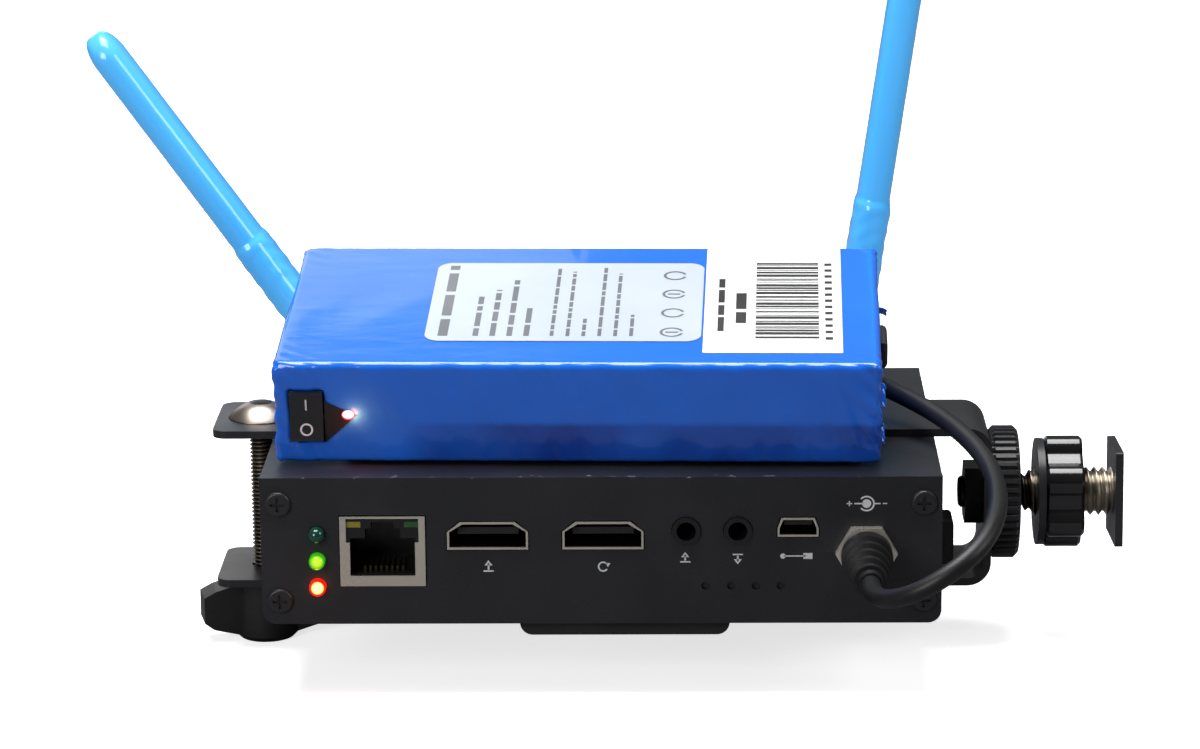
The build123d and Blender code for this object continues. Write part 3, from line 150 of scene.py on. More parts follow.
def mapped(tree, source, low, high, out_low, out_high):
    """Map Range node from one span to another, clamped."""
    node = tree.nodes.new("ShaderNodeMapRange")
    node.inputs["From Min"].default_value = low
    node.inputs["From Max"].default_value = high
    node.inputs["To Min"].default_value = out_low
    node.inputs["To Max"].default_value = out_high
    tree.links.new(source, node.inputs["Value"])
    return node


def product(tree, first, second):
    """Two node outputs multiplied; returns the output."""
    node = tree.nodes.new("ShaderNodeMath")
    node.operation = "MULTIPLY"
    tree.links.new(first, node.inputs[0])
    tree.links.new(second, node.inputs[1])
    return node.outputs["Value"]


def blended(tree, factor, first, second):
    """Colour mix by a factor; each end is a node output or a plain colour. Returns the output."""
    node = tree.nodes.new("ShaderNodeMix")
    node.data_type = "RGBA"
    tree.links.new(factor, node.inputs["Factor"])
    for label, end in (("A", first), ("B", second)):
        if isinstance(end, tuple):
            node.inputs[label].default_value = (*end, 1)
        else:
            tree.links.new(end, node.inputs[label])
    return node.outputs["Result"]


def object_place(tree):
    """Output that gives each point's place in the object's own coordinates, in metres."""
    return tree.nodes.new("ShaderNodeTexCoord").outputs["Object"]


def paint_base(tree, factor, colour, first=False):
    """Lays a colour over the material's toned base where the factor is high, or low when it comes first."""
    toned = tree.nodes["tone"].outputs["Color"]
    ends = (colour, toned) if first else (toned, colour)
    tree.links.new(blended(tree, factor, *ends), tree.nodes["Principled BSDF"].inputs["Base Color"])


def make_grain():
    """Fine grain: two octaves of noise give a height and a roughness that wanders between two values."""
    group, entry, leave = new_group(
        "fine grain",
        (
            ("Place", "NodeSocketVector", None),
            ("Scale", "NodeSocketFloat", 900.0),
            ("Patch Scale", "NodeSocketFloat", 60.0),
            ("Smooth", "NodeSocketFloat", 0.3),
            ("Rough", "NodeSocketFloat", 0.5),
        ),
        (("Height", "NodeSocketFloat"), ("Roughness", "NodeSocketFloat"), ("Patch", "NodeSocketFloat")),
    )
    fine = group.nodes.new("ShaderNodeTexNoise")
    fine.inputs["Detail"].default_value = 3.0
    patch = group.nodes.new("ShaderNodeTexNoise")
    patch.inputs["Detail"].default_value = 4.0
    for node, label in ((fine, "Scale"), (patch, "Patch Scale")):
        group.links.new(entry.outputs["Place"], node.inputs["Vector"])
        group.links.new(entry.outputs[label], node.inputs["Scale"])
    spread = group.nodes.new("ShaderNodeMapRange")
    spread.inputs["From Min"].default_value = 0.3
    spread.inputs["From Max"].default_value = 0.7
    group.links.new(patch.outputs["Fac"], spread.inputs["Value"])
    group.links.new(entry.outputs["Smooth"], spread.inputs["To Min"])
    group.links.new(entry.outputs["Rough"], spread.inputs["To Max"])
    group.links.new(fine.outputs["Fac"], leave.inputs["Height"])
    group.links.new(spread.outputs["Result"], leave.inputs["Roughness"])
    group.links.new(patch.outputs["Fac"], leave.inputs["Patch"])
    return group


def make_tone():
    """Tone drift: mixes a colour with a second one by a soft wide noise and a sparse speck mask."""
    group, entry, leave = new_group(
        "tone drift",
        (
            ("Place", "NodeSocketVector", None),
            ("Scale", "NodeSocketFloat", 40.0),
            ("Main", "NodeSocketColor", (0.5, 0.5, 0.5, 1)),
            ("Second", "NodeSocketColor", (0.6, 0.6, 0.6, 1)),
            ("Dust", "NodeSocketColor", (0.6, 0.6, 0.6, 1)),
            ("Dust Amount", "NodeSocketFloat", 0.0),
        ),
        (("Color", "NodeSocketColor"),),
    )
    wide = group.nodes.new("ShaderNodeTexNoise")
    wide.inputs["Detail"].default_value = 5.0
    group.links.new(entry.outputs["Place"], wide.inputs["Vector"])
    group.links.new(entry.outputs["Scale"], wide.inputs["Scale"])
    drift = mapped(group, wide.outputs["Fac"], 0.35, 0.65, 0.0, 1.0)
    drifted = blended(group, drift.outputs["Result"], entry.outputs["Main"], entry.outputs["Second"])
    specks = group.nodes.new("ShaderNodeTexNoise")
    specks.inputs["Scale"].default_value = 2600.0
    specks.inputs["Detail"].default_value = 1.0
    group.links.new(entry.outputs["Place"], specks.inputs["Vector"])
    sparse = mapped(group, specks.outputs["Fac"], 0.70, 0.76, 0.0, 1.0)
    amount = product(group, sparse.outputs["Result"], entry.outputs["Dust Amount"])
    group.links.new(blended(group, amount, drifted, entry.outputs["Dust"]), leave.inputs["Color"])
    return group


GRAIN = make_grain()
TONE = make_tone()
DUST = (0.45, 0.45, 0.46)


def finish_material(name, main, second, smooth, rough, grain=900.0, bump=0.1, depth=0.00002, patch=60.0,
                    tone=40.0, dust=0.0, metallic=0.0, coat=0.0, coat_rough=0.05, stretch=(1, 1, 1),
                    specular=0.5, sheen=0.0):
    """Principled material and its tree: tone drift on colour, fine grain on roughness and bump."""
    material = bpy.data.materials.new(name)
    material.use_nodes = True
    tree = material.node_tree
    shader = tree.nodes["Principled BSDF"]
    shader.inputs["Metallic"].default_value = metallic
    shader.inputs["Coat Weight"].default_value = coat
    shader.inputs["Coat Roughness"].default_value = coat_rough
    shader.inputs["Specular IOR Level"].default_value = specular
    shader.inputs["Sheen Weight"].default_value = sheen
    place = tree.nodes.new("ShaderNodeTexCoord")
    turn = tree.nodes.new("ShaderNodeMapping")
    turn.inputs["Scale"].default_value = stretch
    tree.links.new(place.outputs["Object"], turn.inputs["Vector"])
    colour = tree.nodes.new("ShaderNodeGroup")
    colour.node_tree = TONE
    colour.name = "tone"
    colour.inputs["Scale"].default_value = tone
    colour.inputs["Main"].default_value = (*main, 1)
    colour.inputs["Second"].default_value = (*second, 1)
    colour.inputs["Dust"].default_value = (*DUST, 1)
    colour.inputs["Dust Amount"].default_value = dust
    grained = tree.nodes.new("ShaderNodeGroup")
    grained.node_tree = GRAIN
    grained.name = "grain"
    grained.inputs["Scale"].default_value = grain
    grained.inputs["Patch Scale"].default_value = patch
    grained.inputs["Smooth"].default_value = smooth
    grained.inputs["Rough"].default_value = rough
    raise_up = tree.nodes.new("ShaderNodeBump")
    raise_up.name = "bump"
    raise_up.inputs["Strength"].default_value = bump
    raise_up.inputs["Distance"].default_value = depth
    for node in (colour, grained):
        tree.links.new(turn.outputs["Vector"], node.inputs["Place"])
    tree.links.new(grained.outputs["Height"], raise_up.inputs["Height"])
    tree.links.new(colour.outputs["Color"], shader.inputs["Base Color"])
    tree.links.new(grained.outputs["Roughness"], shader.inputs["Roughness"])
    tree.links.new(raise_up.outputs["Normal"], shader.inputs["Normal"])
    return material, tree


def plain(*args, **values):
    """A finished material when its tree needs no more nodes."""
    return finish_material(*args, **values)[0]


def lit(name, main, rim, heart, strength):
    """Tinted clear plastic that glows: hot where it faces the eye, deep coloured at its rim."""
    second = [c * 0.8 for c in main]
    material, tree = finish_material(name, main, second, 0.05, 0.12, grain=300, bump=0.02, coat=0.6)
    shader = tree.nodes["Principled BSDF"]
    facing = tree.nodes.new("ShaderNodeLayerWeight")
    facing.inputs["Blend"].default_value = 0.45
    edge = mapped(tree, facing.outputs["Facing"], 0.04, 0.42, 0.0, 1.0)
    tree.links.new(blended(tree, edge.outputs["Result"], heart, rim), shader.inputs["Emission Color"])
    shader.inputs["Emission Strength"].default_value = strength
    return material


def socket_plating(name, lip):
    """Nickel plate that is bright on the socket's lip and shaded dark inside it."""
    material, tree = finish_material(name, (0.80, 0.75, 0.63), (0.88, 0.83, 0.71), 0.25, 0.4, metallic=0.85,
                                     grain=700, bump=0.12)
    split = tree.nodes.new("ShaderNodeSeparateXYZ")
    tree.links.new(object_place(tree), split.inputs["Vector"])
    inward = mapped(tree, split.outputs["Y"], lip + 0.1 * MM, lip + 0.7 * MM, 0.0, 1.0)
    paint_base(tree, inward.outputs["Result"], (0.03, 0.028, 0.026))
    return material


ANODISED = dict(main=(0.0125, 0.013, 0.0155), second=(0.018, 0.0185, 0.022), smooth=0.38, rough=0.52,
                grain=2600, bump=0.22, depth=0.00003, patch=45, tone=70, dust=0.05)


def chipped_panel():
    """Black anodised panel whose upper front edge is chipped to bare metal in small uneven patches."""
    material, tree = finish_material("anodised_panel", **ANODISED)
    place = object_place(tree)
    split = tree.nodes.new("ShaderNodeSeparateXYZ")
    tree.links.new(place, split.inputs["Vector"])
    edge = float(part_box("front_panel")[1][2])
    close = mapped(tree, split.outputs["Z"], edge - 0.28 * MM, edge - 0.08 * MM, 0.0, 1.0)
    noise = tree.nodes.new("ShaderNodeTexNoise")
    noise.inputs["Scale"].default_value = 520.0
    noise.inputs["Detail"].default_value = 6.0
    tree.links.new(place, noise.inputs["Vector"])
    patches = mapped(tree, noise.outputs["Fac"], 0.62, 0.72, 0.0, 0.35)
    bare = product(tree, close.outputs["Result"], patches.outputs["Result"])
    paint_base(tree, bare, (0.72, 0.70, 0.66))
    tree.links.new(bare, tree.nodes["Principled BSDF"].inputs["Metallic"])
    return material


def film_material(name, main, second, coat, wrinkle, stretch, through=0.0):
    """Glossy shrink film: colour drift and stretched wrinkles on the bump; painted light: the film glows in
    its own colour by the given strength.
    """
    material, tree = finish_material(
        name, main, second, 0.10, 0.22, grain=240, bump=wrinkle, depth=0.00035, patch=70, tone=22,
        coat=coat, coat_rough=0.04, stretch=stretch, specular=0.6,
    )
    shader = tree.nodes["Principled BSDF"]
    # Painted light: emission in the film's own tone colour, a glow that no lamp gives.
    tree.links.new(tree.nodes["tone"].outputs["Color"], shader.inputs["Emission Color"])
    shader.inputs["Emission Strength"].default_value = through
    return material


FINISHES = {
    "black_case": plain("anodised_case", **ANODISED),
    "black_steel": plain("black_coated_steel", (0.016, 0.0165, 0.018), (0.024, 0.0245, 0.027), 0.30, 0.44,
                         grain=1500, bump=0.18, depth=0.00004, dust=0.04),
    "rubber": plain("black_rubber", (0.013, 0.013, 0.013), (0.02, 0.02, 0.02), 0.6, 0.8, grain=1100, bump=0.3,
                    depth=0.00006, dust=0.05),
    "board_green": plain("solder_mask", (0.01, 0.09, 0.035), (0.015, 0.12, 0.05), 0.3, 0.45),
    "chip_black": plain("moulded_package", (0.015, 0.015, 0.016), (0.022, 0.022, 0.024), 0.5, 0.65),
    "nickel": plain("nickel_plate", (0.62, 0.59, 0.53), (0.72, 0.69, 0.63), 0.22, 0.38, metallic=1.0,
                    grain=700, bump=0.12),
    "steel": plain("turned_steel", (0.60, 0.57, 0.52), (0.72, 0.69, 0.64), 0.18, 0.32, metallic=1.0,
                   grain=600, bump=0.1),
    "brass": plain("gold_plate", (0.83, 0.62, 0.25), (0.9, 0.7, 0.33), 0.2, 0.32, metallic=1.0),
    "socket_black": plain("socket_moulding", (0.008, 0.008, 0.009), (0.013, 0.013, 0.014), 0.25, 0.4,
                          grain=800, bump=0.1),
    "tongue_grey": plain("tongue_moulding", (0.20, 0.19, 0.17), (0.27, 0.25, 0.22), 0.4, 0.55),
    "lamp_dark_green": plain("unlit_green_lens", (0.004, 0.06, 0.035), (0.006, 0.09, 0.05), 0.05, 0.12,
                             coat=0.8),
    "lamp_green": lit("lit_green_lens", (0.05, 0.4, 0.01), (0.02, 0.42, 0.0), (0.75, 1.0, 0.02), 0.9),
    "lamp_yellow": plain("yellow_window", (0.30, 0.27, 0.015), (0.42, 0.38, 0.02), 0.12, 0.2, coat=0.5),
    "lamp_red": lit("lit_red_lens", (0.6, 0.01, 0.005), (1.0, 0.0, 0.0), (1.0, 0.75, 0.18), 3.4),
    # The antenna film glows at strength 0.42, which is painted light; the battery film does not glow.
    "antenna_blue": film_material("antenna_film", (0.06, 0.42, 0.93), (0.10, 0.50, 0.96), 0.5, 0.10,
                                  (1, 1, 0.25), 0.42),
    "black_plastic": plain("moulded_black", (0.014, 0.014, 0.015), (0.022, 0.022, 0.023), 0.35, 0.5,
                           grain=900, bump=0.22, depth=0.00005, dust=0.04),
    "gloss_black": plain("polished_black", (0.008, 0.008, 0.009), (0.012, 0.012, 0.013), 0.12, 0.22, coat=0.5,
                         grain=500, bump=0.05),
    "film_blue": film_material("battery_film", (0.012, 0.165, 0.90), (0.016, 0.195, 0.94), 0.5, 0.16,
                               (0.35, 1, 1)),
    "cell_silver": plain("pouch_foil", (0.55, 0.56, 0.58), (0.65, 0.66, 0.68), 0.3, 0.4, metallic=1.0),
    "label_silver": plain("silver_label", (0.50, 0.56, 0.64), (0.55, 0.61, 0.69), 0.3, 0.42,
                          grain=1800, bump=0.05),
    "paper_white": plain("white_paper", (0.83, 0.83, 0.82), (0.88, 0.88, 0.87), 0.45, 0.6,
                         grain=1500, bump=0.1),
    "foam_black": plain("hook_and_loop", (0.012, 0.012, 0.012), (0.03, 0.03, 0.03), 0.85, 0.95,
                        grain=1600, bump=0.9, depth=0.0004, sheen=0.3),
    "cord_black": plain("cord_jacket", (0.006, 0.006, 0.0065), (0.010, 0.010, 0.0105), 0.38, 0.5, grain=900,
                        bump=0.15, depth=0.00003, dust=0.03),
}
PRINT_WHITE = plain("white_print", (0.75, 0.75, 0.75), (0.83, 0.83, 0.83), 0.5, 0.6)
PRINT_GREY = plain("grey_print", (0.13, 0.14, 0.16), (0.18, 0.19, 0.21), 0.45, 0.55)
PRINT_BLACK = plain("black_print", (0.015, 0.015, 0.016), (0.03, 0.03, 0.032), 0.45, 0.55)


def dress_nodes():
    """Every CAD node takes the finish of its record slot; a few pieces take a finish of their own."""
    slot_of = {part["node"]: part["material_slot"] for part in frame["record"]["subparts"]}
    for name, node in nodes.items():
        for place in node.material_slots:
            place.material = FINISHES[slot_of[name]]
    special = {
        "front_panel": chipped_panel(),
        "network_lamp_right": plain("green_window", (0.02, 0.10, 0.015), (0.04, 0.16, 0.03), 0.12, 0.2,
                                    coat=0.5),
        "network_pins": plain("shaded_gold", (0.07, 0.055, 0.03), (0.10, 0.075, 0.04), 0.3, 0.4,
                              metallic=0.8),
        "video_tongues": plain("tongue_shaded", (0.010, 0.0095, 0.009), (0.016, 0.015, 0.014), 0.4, 0.55),
        "power_nut": plain("bright_nut", (0.85, 0.80, 0.70), (0.92, 0.87, 0.78), 0.2, 0.34, metallic=0.75),
    }
    for name in ("video_shells", "usb_shell", "network_shield"):
        special[name] = socket_plating(name + "_plating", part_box(name)[0][1])
    for name, material in special.items():
        for place in nodes[name].material_slots:
            place.material = material


# ------------------------------------------------------------------ mesh helpers
def add_mesh(name, points, faces, material, body, smooth=True):
    """Object at the origin from arrays of points in metres and faces, riding on a body."""
    mesh = bpy.data.meshes.new(name)
    faces = faces.tolist() if isinstance(faces, np.ndarray) else faces
    mesh.from_pydata(np.asarray(points, float).tolist(), [], faces)
    mesh.polygons.foreach_set("use_smooth", np.full(len(mesh.polygons), smooth))
    mesh.materials.append(material)
    mesh.update()
    piece = bpy.data.objects.new(name, mesh)
    bpy.context.scene.collection.objects.link(piece)
    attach(piece, body)
    return piece


def grid_faces(rows, columns, wrap=False):
    """Quads of a grid of rows by columns; wrap joins the last column to the first."""
    i, j = np.meshgrid(np.arange(rows - 1), np.arange(columns if wrap else columns - 1), indexing="ij")
    k = (j + 1) % columns
    quads = (i * columns + j, i * columns + k, (i + 1) * columns + k, (i + 1) * columns + j)
    return np.stack(quads, -1).reshape(-1, 4)


def end_fans(rows, columns, start=0):
    """Triangles that close both ends of a tube of rows by columns on two more points, first and last."""
    total, low = start + rows * columns, start + (rows - 1) * columns
    first = [(total, start + (j + 1) % columns, start + j) for j in range(columns)]
    return first + [(total + 1, low + j, low + (j + 1) % columns) for j in range(columns)]


def frame_about(axis):
    """Two unit vectors square to an axis and to each other, right-handed with it."""
    axis = np.asarray(axis, float) / np.linalg.norm(axis)
    helper = np.array((0, 0, 1.0)) if abs(axis[2]) < 0.9 else np.array((1.0, 0, 0))
    first = np.cross(helper, axis)
    first /= np.linalg.norm(first)
    return first, np.cross(axis, first), axis


def threaded(name, start, axis, far, major, span, pitch, depth, material, body, segments=48):
    """Turned screw: radius = major radius - depth * a flattened triangle wave of (distance / pitch - turn),
    inside the threaded span, fading to plain metal at both of its ends."""
    first, second, along = frame_about(axis)
    count, length = len(far), far[-1]
    turn = np.linspace(0, 2 * np.pi, segments, endpoint=False)
    phase = far[:, None] / pitch - turn[None, :] / (2 * np.pi)
    wave = np.clip(np.abs((phase % 1.0) * 2 - 1) * 1.35 - 0.12, 0, 1)
    fade = np.clip(np.minimum(far - span[0], span[1] - far) / (0.6 * pitch), 0, 1)[:, None]
    size = major[:, None] - depth * wave * fade
    ring = np.cos(turn)[:, None] * first + np.sin(turn)[:, None] * second
    points = start + far[:, None, None] * along + size[..., None] * ring[None]
    caps = np.array([start, start + length * along])
    faces = grid_faces(count, segments, wrap=True).tolist() + end_fans(count, segments)
    return add_mesh(name, np.vstack((points.reshape(-1, 3), caps)), faces, material, body)


# ------------------------------------------------------------------ battery film
def rounded_box_points(size, radius, counts, extra):
    """Rounded box on a grid: a point of the plain box goes to the inner box plus the radius on the way out.
    Each axis has even steps across the flat, steps through the rounded edge, and the extra cuts asked for."""
    half = np.asarray(size) / 2
    bend = np.tan(np.linspace(0, np.pi / 4, 6)[1:]) * radius
    lines = []
    for axis in range(3):
        flat = half[axis] - radius
        inner = np.linspace(-flat, flat, counts[axis])
        cuts = np.asarray(extra[axis], float) - half[axis]
        lines.append(np.unique(np.round(np.concatenate((-(flat + bend), inner, cuts, flat + bend)), 6)))
    points, faces, total = [], [], 0
    for axis in range(3):
        a, b = (axis + 1) % 3, (axis + 2) % 3
        for sign in (-1, 1):
            first, second = np.meshgrid(lines[a], lines[b], indexing="ij")
            q = np.empty(first.shape + (3,))
            q[..., a], q[..., b], q[..., axis] = first, second, sign * half[axis]
            quads = grid_faces(len(lines[a]), len(lines[b])) + total
            faces.append(quads if sign < 0 else quads[:, ::-1])
            points.append(q.reshape(-1, 3))
            total += first.size
    q = np.vstack(points)
    core = np.clip(q, -(half - radius), half - radius)
    away = q - core
    normal = away / np.linalg.norm(away, axis=1)[:, None]
    keys, first, back = np.unique(np.round(q, 4), axis=0, return_index=True, return_inverse=True)
    faces = back.reshape(-1)[np.vstack(faces)]
    return (core + radius * normal)[first] + half, normal[first], faces


def film_relief(p, n, size):
    """Height of the film off its box in millimetres: soft waves, creases that run in from the long edges,
    pleats round the corners, all as sums and products of sines, and nearly none under the labels."""
    x, y, z = p.T
    u, v = x / size[0], y / size[1]
    off_x, off_y = np.minimum(u, 1 - u) * size[0], np.minimum(v, 1 - v) * size[1]
    edge = np.exp(-(off_y / 5.0)) + np.exp(-(off_x / 6.0))
    wave = 0.10 * np.sin(x * 0.35 + 2 * np.sin(y * 0.11)) * np.sin(z * 0.33 + 0.7 + 0.05 * x)
    crease = 0.09 * np.sin(x * 0.9 + 3 * np.sin(x * 0.13) + z * 0.45)
    crease = crease + 0.06 * np.sin(x * 2.1 + z * 0.8 + y * 0.2)
    corner = np.exp(-off_x / 3.5) * np.exp(-off_y / 3.5)
    pleat = 0.28 * corner * np.sin(z * 1.4 + x * 1.1 + y * 1.6)
    side = 1 - np.abs(n[:, 2])
    top = np.clip(n[:, 2], 0, 1)
    relief = (wave + crease * edge) * (0.25 + 0.75 * side) + pleat - 0.14
    return np.where(top > 0.9, np.minimum(relief * 0.5, -0.02), np.minimum(relief, 0.12))


def darker_low_front_band(material):
    """Darker blue low on the battery's front, to the right of 24 to 32 mm along it: its upper edge wanders
    with a noise.
    """
    tree = material.node_tree
    place = object_place(tree)
    noise = tree.nodes.new("ShaderNodeTexNoise")
    noise.inputs["Scale"].default_value = 60.0
    tree.links.new(place, noise.inputs["Vector"])
    factor = mapped(tree, noise.outputs["Fac"], 0.3, 0.7, 0.4, 1.0).outputs["Result"]
    low = on_battery((0, 0, 0))
    for axis, start, end in ((BATTERY_Z, 8.7, 7.6), (BATTERY_Y, 1.6, 1.1), (BATTERY_X, 24.0, 32.0)):
        along = tree.nodes.new("ShaderNodeVectorMath")
        along.operation = "DOT_PRODUCT"
        along.inputs[1].default_value = axis
        tree.links.new(place, along.inputs[0])
        base = float(np.dot(low, axis))
        within = mapped(tree, along.outputs["Value"], base + start * MM, base + end * MM, 0.0, 1.0)
        factor = product(tree, factor, within.outputs["Result"])
    # Darker blue laid over the film's base colour in that band.
    paint_base(tree, factor, (0.004, 0.055, 0.42))


def make_film():
    """Shrink film of the battery: a thin rounded box with relief and a rectangular window for the switch."""
    darker_low_front_band(FINISHES["film_blue"])
    middles = (SWITCH_PIVOT[0], SWITCH_PIVOT[2])
    window = np.array([(middle - half, middle + half) for middle, half in zip(middles, SWITCH_WINDOW_HALF)])
    p, n, faces = rounded_box_points(BATTERY_SIZE, FILM_RADIUS, (120, 64, 26), (window[0], (), window[1]))
    p = p + n * film_relief(p, n, BATTERY_SIZE)[:, None]
    centre = p[faces].mean(axis=1)
    facing_out = n[faces].mean(axis=1)[:, 1] < -0.9
    flat = centre[:, (0, 2)]
    inside = np.all((flat > window[:, 0]) & (flat < window[:, 1]), axis=1) & facing_out
    film = add_mesh("battery_film", on_battery(p), faces[~inside], FINISHES["film_blue"], "unit")
    wall = film.modifiers.new("wall", "SOLIDIFY")
    wall.thickness = FILM_T * MM
    wall.offset = -1.0
    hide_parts("battery_wrap")


# ------------------------------------------------------------------ antenna paddles
def paddle_shell(frame_axes, hinge):
    """Film-wrapped paddle: at each height an oval whose half width and half thickness follow the sleeve,
    its rolled end, the tapering blade and the round tip; the sleeve is crinkled by sine products."""
    side, rear, up = frame_axes
    tip_rise = TIP_L * np.sin(np.linspace(0.05, 1, 14) * np.pi / 2)
    height = np.concatenate((np.linspace(SLEEVE_START, 8, 5), np.linspace(8.6, 45, 64),
                             np.linspace(45.4, 48.4, 14), np.linspace(50, 93, 24), TIP_START + tip_rise))
    knots = (SLEEVE_START, 7.0, 25.0, 46.0, 46.8, 48.0, TIP_START)
    wide = np.interp(height, knots, (5.2, 6.2, 6.35, 6.35, 6.25, 5.8, 5.75))
    thick = np.interp(height, knots, (2.6, 3.55, 3.75, 3.8, 3.7, 3.4, 3.35))
    tip = np.clip((height - TIP_START) / TIP_L, 0, 1)
    shrink = np.sqrt(np.clip(1 - tip**2, 0, 1))
    wide, thick = wide * shrink, thick * (0.35 + 0.65 * shrink) * np.where(tip >= 1, 0.0, 1)
    turn = np.linspace(0, 2 * np.pi, 56, endpoint=False)
    cos, sin = np.cos(turn), np.sin(turn)
    oval_x = np.sign(cos) * np.abs(cos) ** 0.85
    oval_y = np.sign(sin) * np.abs(sin) ** 0.72
    h, t = height[:, None], turn[None, :]
    inside = np.clip((SLEEVE_END - h) / 2, 0, 1)
    crinkle = 0.10 * np.sin(h * 0.55 + 2.2 * np.sin(2 * t)) * np.sin(3 * t + h * 0.12)
    crinkle = crinkle + 0.07 * np.sin(h * 1.7 + 3 * np.sin(t * 2 + 0.6))
    relief = crinkle * (0.15 + 0.85 * inside) * (tip[:, None] < 0.9)
    x = (thick[:, None] + relief) * oval_x
    y = (wide[:, None] + relief * 0.6) * oval_y
    x = np.where(thick[:, None] == 0, 0, x)
    points = hinge + (x[..., None] * side + y[..., None] * rear + (h + 0 * t)[..., None] * up) * MM
    caps = np.array((hinge + SLEEVE_START * MM * up, hinge + TIP_END * MM * up))
    rows, columns = points.shape[:2]
    faces = grid_faces(rows, columns, wrap=True).tolist() + end_fans(rows, columns)
    return np.vstack((points.reshape(-1, 3), caps)), faces


def knuckle_shell(frame_axes, hinge, start):
    """Hinge knuckle: a rounded barrel about the pin, its upper half carried straight up into the sleeve."""
    side, rear, up = frame_axes
    columns = 48
    turn = np.linspace(0, 2 * np.pi, columns, endpoint=False)
    across = np.array((-KNUCKLE_HALF_W, -2.55, -2.3, 2.3, 2.55, KNUCKLE_HALF_W))
    radius = np.array((3.5, 3.75, 3.85, 3.85, 3.75, 3.5))
    y = radius[:, None] * np.cos(turn)
    z = radius[:, None] * np.sin(turn)
    z = np.where(np.sin(turn) > 0, z + 3.0 * np.clip(np.sin(turn) * 4, 0, 1), z)
    points = hinge + (across[:, None, None] * side + y[..., None] * rear + z[..., None] * up) * MM
    middle = np.array((hinge - KNUCKLE_HALF_W * MM * side, hinge + KNUCKLE_HALF_W * MM * side))
    faces = (grid_faces(len(across), columns, wrap=True)[:, ::-1] + start).tolist()
    faces += [face[::-1] for face in end_fans(len(across), columns, start)]
    return np.vstack((points.reshape(-1, 3), middle)), faces


def make_paddles():
    """Both antennas: the crinkled paddle and its knuckle as one piece on the folding body."""
    for name, x, lean in ANTENNA_HINGES:
        lean = math.radians(lean)
        side = np.array((math.cos(lean), 0, -math.sin(lean)))
        up = np.array((math.sin(lean), 0, math.cos(lean)))
        axes = (side, np.array((0, 1.0, 0)), up)
        hinge = at_case(x, HINGE_Y, HINGE_Z)
        blade, blade_faces = paddle_shell(axes, hinge)
        knuckle, knuckle_faces = knuckle_shell(axes, hinge, len(blade))
        body = f"antenna_{name}_paddle"
        piece = add_mesh(f"{name}_paddle_film", np.vstack((blade, knuckle)), blade_faces + knuckle_faces,
                         FINISHES["antenna_blue"], body)
        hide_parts(f"antenna_{name}_blade")


# ------------------------------------------------------------------ marks
PRINT_GAP = 0.03
LABEL_T = 0.12
SWITCH_TIP = math.radians(-4.0)
ROCKER_TOP, ROCKER_HALF, ROCKER_FALL = 3.5, 4.7, 0.6


def circle_outline(x, z, radius, count=40, start=0.0, end=2 * np.pi):
    """Points round a circle or arc."""
    turn = np.linspace(start, end, count)
    return np.stack((x + radius * np.cos(turn), z + radius * np.sin(turn)), 1)


def ring_outline(x, z, radius, width, start, end, count=36):
    """Closed band between two arcs."""
    outer = circle_outline(x, z, radius + width / 2, count, start, end)
    inner = circle_outline(x, z, radius - width / 2, count, end, start)
    return np.vstack((outer, inner))


def bar_outline(x0, x1, z0, z1):
    """Rectangle as four points."""
    return np.array(((x0, z0), (x1, z0), (x1, z1), (x0, z1)))


def merge_prints(name, outlines, origin, across, up, lift, material, body):
    """Several printed patches as one flat mesh."""
    out = np.cross(across, up)
    points, faces, total = [], [], 0
    for outline in outlines:
        outline = np.asarray(outline, float)
        points.append(origin + (outline[:, :1] * across + outline[:, 1:] * up + lift * out) * MM)
        faces.append(list(range(total, total + len(outline))))
        total += len(outline)
    return add_mesh(name, np.vstack(points), faces, material, body, smooth=False)


def arrow(x, z, height, direction):
    """Small solid arrow over a bar: shaft, head and base line. direction is +1 up or -1 down."""
    shaft = bar_outline(x - 0.16, x + 0.16, z - height / 2, z + height / 2)
    tip = z + direction * (height / 2 + 0.55)
    foot = z + direction * (height / 2 - 0.45)
    head = np.array(((x - 0.75, foot), (x + 0.75, foot), (x, tip)))
    if direction < 0:
        head = head[::-1]
    base = z - direction * (height / 2 + 0.25)
    return [shaft, head, bar_outline(x - 0.95, x + 0.95, base - 0.14, base + 0.14)]


def panel_marks():
    """Generic marks: arrows in and out, an open ring for the through socket, a plug and the polarity."""
    shapes = arrow(42.5, 11.2, 1.3, 1) + arrow(79.2, 12.8, 1.1, 1) + arrow(89.0, 12.6, 1.1, -1)
    shapes += [ring_outline(63.9, 11.1, 0.85, 0.3, 0.6, 5.7)]
    shapes += [np.array(((64.35, 11.9), (65.25, 11.75), (64.75, 11.0)))[::-1]]
    shapes += [bar_outline(97.6, 101.6, 12.95, 13.2), circle_outline(97.4, 13.07, 0.5)]
    shapes += [bar_outline(101.2, 102.9, 12.5, 13.65)]
    x, z = 112.9, 23.2
    shapes += [circle_outline(x, z, 0.84), ring_outline(x, z, 1.36, 0.3, -2.45, 2.45)]
    shapes += [bar_outline(110.6, 112.3, z - 0.13, z + 0.13), bar_outline(114.3, 115.5, z - 0.13, z + 0.13)]
    shapes += [bar_outline(109.2, 110.2, z - 0.11, z + 0.11), bar_outline(109.59, 109.81, z - 0.5, z + 0.5)]
    shapes += [bar_outline(115.9, 116.7, z - 0.11, z + 0.11)]
    across, up = np.array((1.0, 0, 0)), np.array((0, 0, 1.0))
    merge_prints("panel_marks", shapes, at_case(0, 0, 0), across, up, PRINT_GAP, PRINT_WHITE, "unit")


